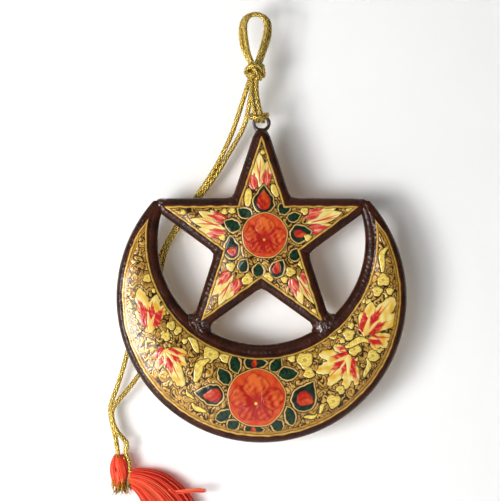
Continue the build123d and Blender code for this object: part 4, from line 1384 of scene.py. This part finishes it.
def tassel_skirt():
    """Loose threads in locks: a thread keeps near its lock's place across a bundle that widens as it falls.

    The bundle's middle line is a quarter of an ellipse. Locks are spread over the oval section, and each
    thread's distance from its lock grows a little towards the cut end.
    """
    dice = np.random.default_rng(8)
    locks = 44
    each = 15
    count = locks * each
    turn = np.arange(locks) * GOLDEN_TURN
    far = np.sqrt((np.arange(locks) + 0.5) / locks)
    lock_across = np.repeat(far * np.cos(turn), each)
    lock_deep = np.repeat(far * np.sin(turn), each)
    across = np.clip(lock_across + dice.normal(0, 0.15, count), -1, 1)
    deep = np.clip(lock_deep + dice.normal(0, 0.14, count), -1, 1)
    end = np.pi / 2 * np.clip(dice.normal(0.95, 0.06, count), 0.6, 1.0)
    tau = np.linspace(0.02, 1, 34)[None, :] * end[:, None]
    stations = np.array([0, 0.2, 0.5, 0.8, 1.05, 1.3, np.pi / 2])
    tall = np.interp(tau, stations, [0.3, 0.45, 0.71, 0.88, 0.97, 0.98, 0.93]) * SKIRT_TALL
    thick = np.interp(tau, stations, [0.5, 0.7, 0.85, 0.94, 0.98, 0.95, 0.82]) * SKIRT_DEEP
    x, z, cross_x, cross_z = skirt_frame(tau)
    lock_phase = np.repeat(dice.uniform(0, TURN, locks), each)[:, None]
    lock_rate = np.repeat(dice.uniform(2.0, 4.5, locks), each)[:, None]
    lean = np.repeat(dice.normal(0, 0.35, locks), each)[:, None] * tau ** 1.6
    stray = dice.normal(0, 0.16, count)[:, None] * tau ** 1.5
    wave = 0.3 * tau * np.sin(tau * lock_rate + lock_phase)
    offset = across[:, None] * tall * 0.96 + lean + stray + wave
    sink = deep[:, None] * thick * 0.95 + 0.3 * wave
    paths = np.stack([x + offset * cross_x, TASSEL_Y + sink, z + offset * cross_z], axis=-1)
    lock_tone = np.repeat(dice.normal(0, 0.16, locks), each)
    # Threads deeper in the bundle, towards the wall, get a lower tone as painted shade
    tone = np.clip(0.62 + lock_tone + dice.normal(0, 0.12, count) - 0.1 * deep, 0, 1)
    return thread_bundle("tassel_skirt_threads", paths, dice.uniform(0.16, 0.25, count), tone, silk, sides=4)


def stray_lock():
    """Lock of threads that stands out to the right."""
    dice = np.random.default_rng(12)
    count = 30
    line, _ = even_line(np.array([(-38.0, 6.9, -161.4), (-34.14, 6.42, -163.56), (-28.5, 5.82, -164.7),
                                  (-22.69, 5.62, -164.1), (-17.54, 5.82, -163.95)]), 0.9)
    share = np.linspace(0, 1, len(line))
    end = dice.uniform(0.86, 1.0, count)
    places = share[None, :] * end[:, None]
    paths = np.stack([np.interp(places, share, line[:, axis]) for axis in range(3)], axis=-1)
    spread_y = dice.normal(0, 0.32, count)[:, None] * (0.8 + 0.3 * share[None, :])
    spread_z = dice.normal(0, 0.36, count)[:, None] * (0.8 + 0.3 * share[None, :])
    wave = 0.12 * np.sin(share[None, :] * 6 + dice.uniform(0, TURN, count)[:, None])
    paths = paths + np.stack([0 * spread_y, spread_y, spread_z + wave], axis=-1)
    # The lock takes a higher tone than the skirt's threads: the same thread painted lighter, as painted light
    # on the lock
    return thread_bundle("stray_lock_threads", paths, dice.uniform(0.13, 0.2, count),
                         np.clip(dice.normal(0.8, 0.16, count), 0, 1), silk, sides=4)


def frayed_ends():
    """Gold filaments of the cut cord ends: a collar on the head's top, a fringe low on it, hairs below."""
    dice = np.random.default_rng(21)
    under = 64
    collar = 46
    beside = 26
    fringe = 66
    share = np.linspace(0, 1, 9)
    turn = dice.uniform(0, TURN, under)
    root = np.sqrt(dice.uniform(0, 1, under)) * 1.8
    lean = dice.uniform(0.15, 0.8, under)
    length = dice.uniform(1.6, 3.8, under)
    out = root[:, None] + lean[:, None] * length[:, None] * share[None, :] ** 1.3
    x = HEAD_X + 0.5 + out * np.cos(turn)[:, None] + 0.12 * np.sin(share[None, :] * 6 + turn[:, None])
    y = TASSEL_Y + 0.7 * out * np.sin(turn)[:, None]
    z = HEAD_LOW + 0.7 - length[:, None] * share[None, :]
    hairs = np.stack([x, y, z], axis=-1)
    turn = dice.uniform(0, TURN, collar)
    start = dice.uniform(0.0, 0.04, collar)
    fall = dice.uniform(0.05, 0.16, collar)
    drop_share = start[:, None] + fall[:, None] * share[None, :]
    out = head_radius(drop_share) + 0.12
    sweep = turn[:, None] + dice.normal(0, 0.35, collar)[:, None] * share[None, :]
    x = HEAD_X + out * np.cos(sweep)
    y = TASSEL_Y + out * np.sin(sweep)
    z = HEAD_TOP + 0.1 + (HEAD_LOW - HEAD_TOP) * drop_share
    collar_paths = np.stack([x, y, z], axis=-1)
    lean_x = dice.normal(0.1, 0.5, beside)[:, None]
    lean_y = dice.normal(-0.1, 0.35, beside)[:, None]
    length = dice.uniform(1.6, 4.2, beside)[:, None]
    x = -45.4 + dice.normal(0, 0.22, beside)[:, None] + lean_x * length * 0.5 * share[None, :] ** 1.4
    y = 6.4 + dice.normal(0, 0.22, beside)[:, None] + lean_y * length * 0.5 * share[None, :] ** 1.4
    z = dice.uniform(-161.8, -159.6, beside)[:, None] - length * share[None, :]
    beside_paths = np.stack([x, y, z], axis=-1)
    start = dice.uniform(0.6, 0.84, fringe)
    stop = dice.uniform(0.96, 1.15, fringe)
    drop_share = start[:, None] + (stop - start)[:, None] * share[None, :]
    hang = dice.uniform(1.9, 2.7, fringe)[:, None]
    out = np.maximum(head_radius(np.clip(drop_share, 0, 1)), hang) + 0.1
    sweep = dice.uniform(0, TURN, fringe)[:, None] + dice.normal(0, 0.18, fringe)[:, None] * share[None, :]
    x = HEAD_X + out * np.cos(sweep)
    y = TASSEL_Y + out * np.sin(sweep)
    z = HEAD_TOP + (HEAD_LOW - HEAD_TOP) * drop_share
    paths = np.concatenate([hairs, collar_paths, beside_paths, np.stack([x, y, z], axis=-1)])
    count = under + collar + beside + fringe
    return thread_bundle("frayed_gold_ends", paths, dice.uniform(0.05, 0.1, count),
                         np.clip(dice.normal(0.5, 0.25, count), 0.1, 1), braid, label="lay", sides=5)


# Building

# Grid points along and across a crescent half and along a star arm, finer on the front
FRONT_GRID = (1340, 172)
BACK_GRID = (860, 100)
FRONT_ARM = 173
BACK_ARM = 125
front_crescent = crescent_pieces("crescent_front_face", -1, *FRONT_GRID, 4)
back_crescent = crescent_pieces("crescent_back_face", 1, *BACK_GRID, 2)
front_star = [star_piece("star_front_face_upper", -1, (0, 1, 4), FRONT_ARM),
              star_piece("star_front_face_lower", -1, (2, 3), FRONT_ARM)]
back_star = [star_piece("star_back_face", 1, (0, 1, 2, 3, 4), BACK_ARM)]
for pieces, node in ((front_crescent, "crescent_front_shell"), (back_crescent, "crescent_back_shell"),
                     (front_star, "star_front_shell"), (back_star, "star_back_shell")):
    for piece in pieces:
        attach(piece, "ornament")
        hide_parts(node)

for piece in (eye_ring(), eye_neck()):
    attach(piece, "ornament")
    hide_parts("hanging_eye")
for piece in (horn_fillet("horn_fillet_left", -1), horn_fillet("horn_fillet_right", 1),
              tip_joint("tip_joint_left", 2, 1.0), tip_joint("tip_joint_right", 3, 0.5)):
    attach(piece, "ornament")
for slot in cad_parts["glue_beads"].material_slots:
    slot.material = brown

cords = {}
for label, points, hint, node in (
        ("hanging_loop_front_braid", LOOP_FRONT, (0, 1, 0), "hanging_loop_front"),
        ("hanging_loop_rear_braid", LOOP_REAR, (0, 1, 0), "hanging_loop_rear"),
        ("eye_hitch_braid", EYE_HITCH, (1, 1, 1), "eye_hitch"),
        ("tail_long_braid", TAIL_LONG, (0, 1, 0), "tail_cord_long"),
        ("tail_short_braid", TAIL_SHORT, (0, 1, 0), "tail_cord_short")):
    piece, line, length = braided_tube(label, nurbs_line(label, points), CORD_RADIUS, hint)
    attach(piece, "cord")
    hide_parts(node)
    cords[label] = (piece, line, length)

knot_pieces = [knot_core()]
for label, points in KNOT_STRANDS.items():
    knot_pieces.append(braided_tube(label, nurbs_line(label, points), CORD_RADIUS, (0.15, 0.2, 1))[0])
for piece in knot_pieces:
    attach(piece, "cord")
    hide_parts("loop_knot")

NECK_RADIUS = 0.78
end_line = nurbs_line("cord_end_braid", CORD_END)
cord_end = braided_tube("cord_end_braid", end_line, NECK_RADIUS, (0, 1, 0), 0.5)[0]
neck_line = nurbs_line("tail_neck_braid", TAIL_NECK)
tail_neck = braided_tube("tail_neck_braid", neck_line, NECK_RADIUS, (0, 1, 0))[0]
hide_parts("cord_end_side")
for piece in (cord_end, tail_neck):
    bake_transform(piece)
tassel = [(tassel_head(), "red_thread", "tassel_head"), (tassel_core(), "red_thread", "tassel_head"),
          (tassel_skirt(), "red_thread", "tassel_skirt"), (stray_lock(), "red_thread", "stray_lock"),
          (frayed_ends(), "gold_cord", "frayed_ends")]
for piece, slot, node in tassel:
    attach(piece, "tassel")
    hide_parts(node)

for label, far_end, extra in (
        ("eye_hitch_braid", "knot", knot_pieces),
        ("hanging_loop_front_braid", "knot", []),
        ("hanging_loop_rear_braid", "knot", []),
        ("tail_long_braid", "object", []),
        ("tail_short_braid", "object", [])):
    piece, line, length = cords[label]


# Stage, light and camera

def pale_backdrop():
    """Matt white board that lets lamp light through and is clear from behind, so the back can be seen."""
    finish, nodes, links, shader = new_finish("pale_backdrop")
    even(shader, {"Base Color": (0.93, 0.93, 0.925, 1), "Roughness": 0.9, "Specular IOR Level": 0.1})
    ray = nodes.new("ShaderNodeLightPath")
    glow = nodes.new("ShaderNodeEmission")
    glow.inputs["Color"].default_value = (1, 1, 1, 1)
    level = nodes.new("ShaderNodeMath")
    level.operation = "MULTIPLY"
    level.inputs[1].default_value = 0.04
    links.new(ray.outputs["Is Camera Ray"], level.inputs[0])
    links.new(level.outputs["Value"], glow.inputs["Strength"])
    lit = nodes.new("ShaderNodeAddShader")
    links.new(shader.outputs["BSDF"], lit.inputs[0])
    links.new(glow.outputs["Emission"], lit.inputs[1])
    clear = nodes.new("ShaderNodeBsdfTransparent")
    side = nodes.new("ShaderNodeNewGeometry")
    either = nodes.new("ShaderNodeMath")
    either.operation = "MAXIMUM"
    links.new(side.outputs["Backfacing"], either.inputs[0])
    links.new(ray.outputs["Is Shadow Ray"], either.inputs[1])
    choice = nodes.new("ShaderNodeMixShader")
    links.new(either.outputs["Value"], choice.inputs["Fac"])
    links.new(lit.outputs["Shader"], choice.inputs[1])
    links.new(clear.outputs["BSDF"], choice.inputs[2])
    links.new(choice.outputs["Shader"], nodes["Material Output"].inputs["Surface"])
    return finish


def board(name, corners, material):
    """Flat stage board from four corners in metres."""
    mesh = bpy.data.meshes.new(name)
    mesh.from_pydata(corners, [], [(0, 1, 2, 3)])
    mesh.materials.append(material)
    item = bpy.data.objects.new(name, mesh)
    bpy.context.collection.objects.link(item)


def lamp(name, place, target, size, power):
    """Square soft lamp aimed at a point."""
    data = bpy.data.lights.new(name, "AREA")
    data.shape = "SQUARE"
    data.size = size
    data.energy = power
    item = bpy.data.objects.new(name, data)
    item.location = place
    item.rotation_euler = (Vector(target) - Vector(place)).to_track_quat("-Z", "Y").to_euler()
    bpy.context.collection.objects.link(item)


WALL_Y = 0.0132
FLOOR_Z = -0.3
ROOM_SIDE = 1.2
ROOM_TOP = 1.2
ROOM_BACK = 1.2
ROOM_FRONT = -1.6
backdrop = pale_backdrop()
board("wall_board", [(-ROOM_SIDE, WALL_Y, FLOOR_Z), (ROOM_SIDE, WALL_Y, FLOOR_Z),
                     (ROOM_SIDE, WALL_Y, ROOM_TOP), (-ROOM_SIDE, WALL_Y, ROOM_TOP)], backdrop)
board("floor_board", [(-ROOM_SIDE, ROOM_FRONT, FLOOR_Z), (ROOM_SIDE, ROOM_FRONT, FLOOR_Z),
                      (ROOM_SIDE, ROOM_BACK, FLOOR_Z), (-ROOM_SIDE, ROOM_BACK, FLOOR_Z)], backdrop)

MIDDLE = (-0.0025, 0.0, -0.08)
lamp("key_lamp", (-0.42, -0.52, -0.2), MIDDLE, 0.24, 3.6)
lamp("window_lamp", (-0.3, -0.78, -0.16), MIDDLE, 0.26, 1.5)
lamp("top_lamp", (0.0, -0.35, 0.6), MIDDLE, 0.4, 0.4)
lamp("back_lamp", (0.3, 0.8, 0.2), MIDDLE, 0.5, 5.0)

world = bpy.data.worlds.new("pale_room")
world.use_nodes = True
world.node_tree.nodes["Background"].inputs["Color"].default_value = (0.93, 0.94, 0.95, 1)
world.node_tree.nodes["Background"].inputs["Strength"].default_value = 0.08
bpy.context.scene.world = world
bpy.context.scene.view_settings.view_transform = "Standard"

VIEW_DISTANCE = 0.9
FRAME_WIDTH = 0.175
FACE_DEPTH = 0.004
VIEW_X = -0.00245
VIEW_Z = -0.0793
camera_data = bpy.data.cameras.new("camera")
camera_data.sensor_fit = "HORIZONTAL"
camera_data.angle = 2 * np.arctan(FRAME_WIDTH / 2 / (VIEW_DISTANCE - FACE_DEPTH))
camera_data.clip_start = 0.01
camera = bpy.data.objects.new("camera", camera_data)
camera.location = (VIEW_X, -VIEW_DISTANCE, VIEW_Z)
camera.rotation_euler = (np.pi / 2, 0, 0)
bpy.context.collection.objects.link(camera)
bpy.context.scene.camera = camera
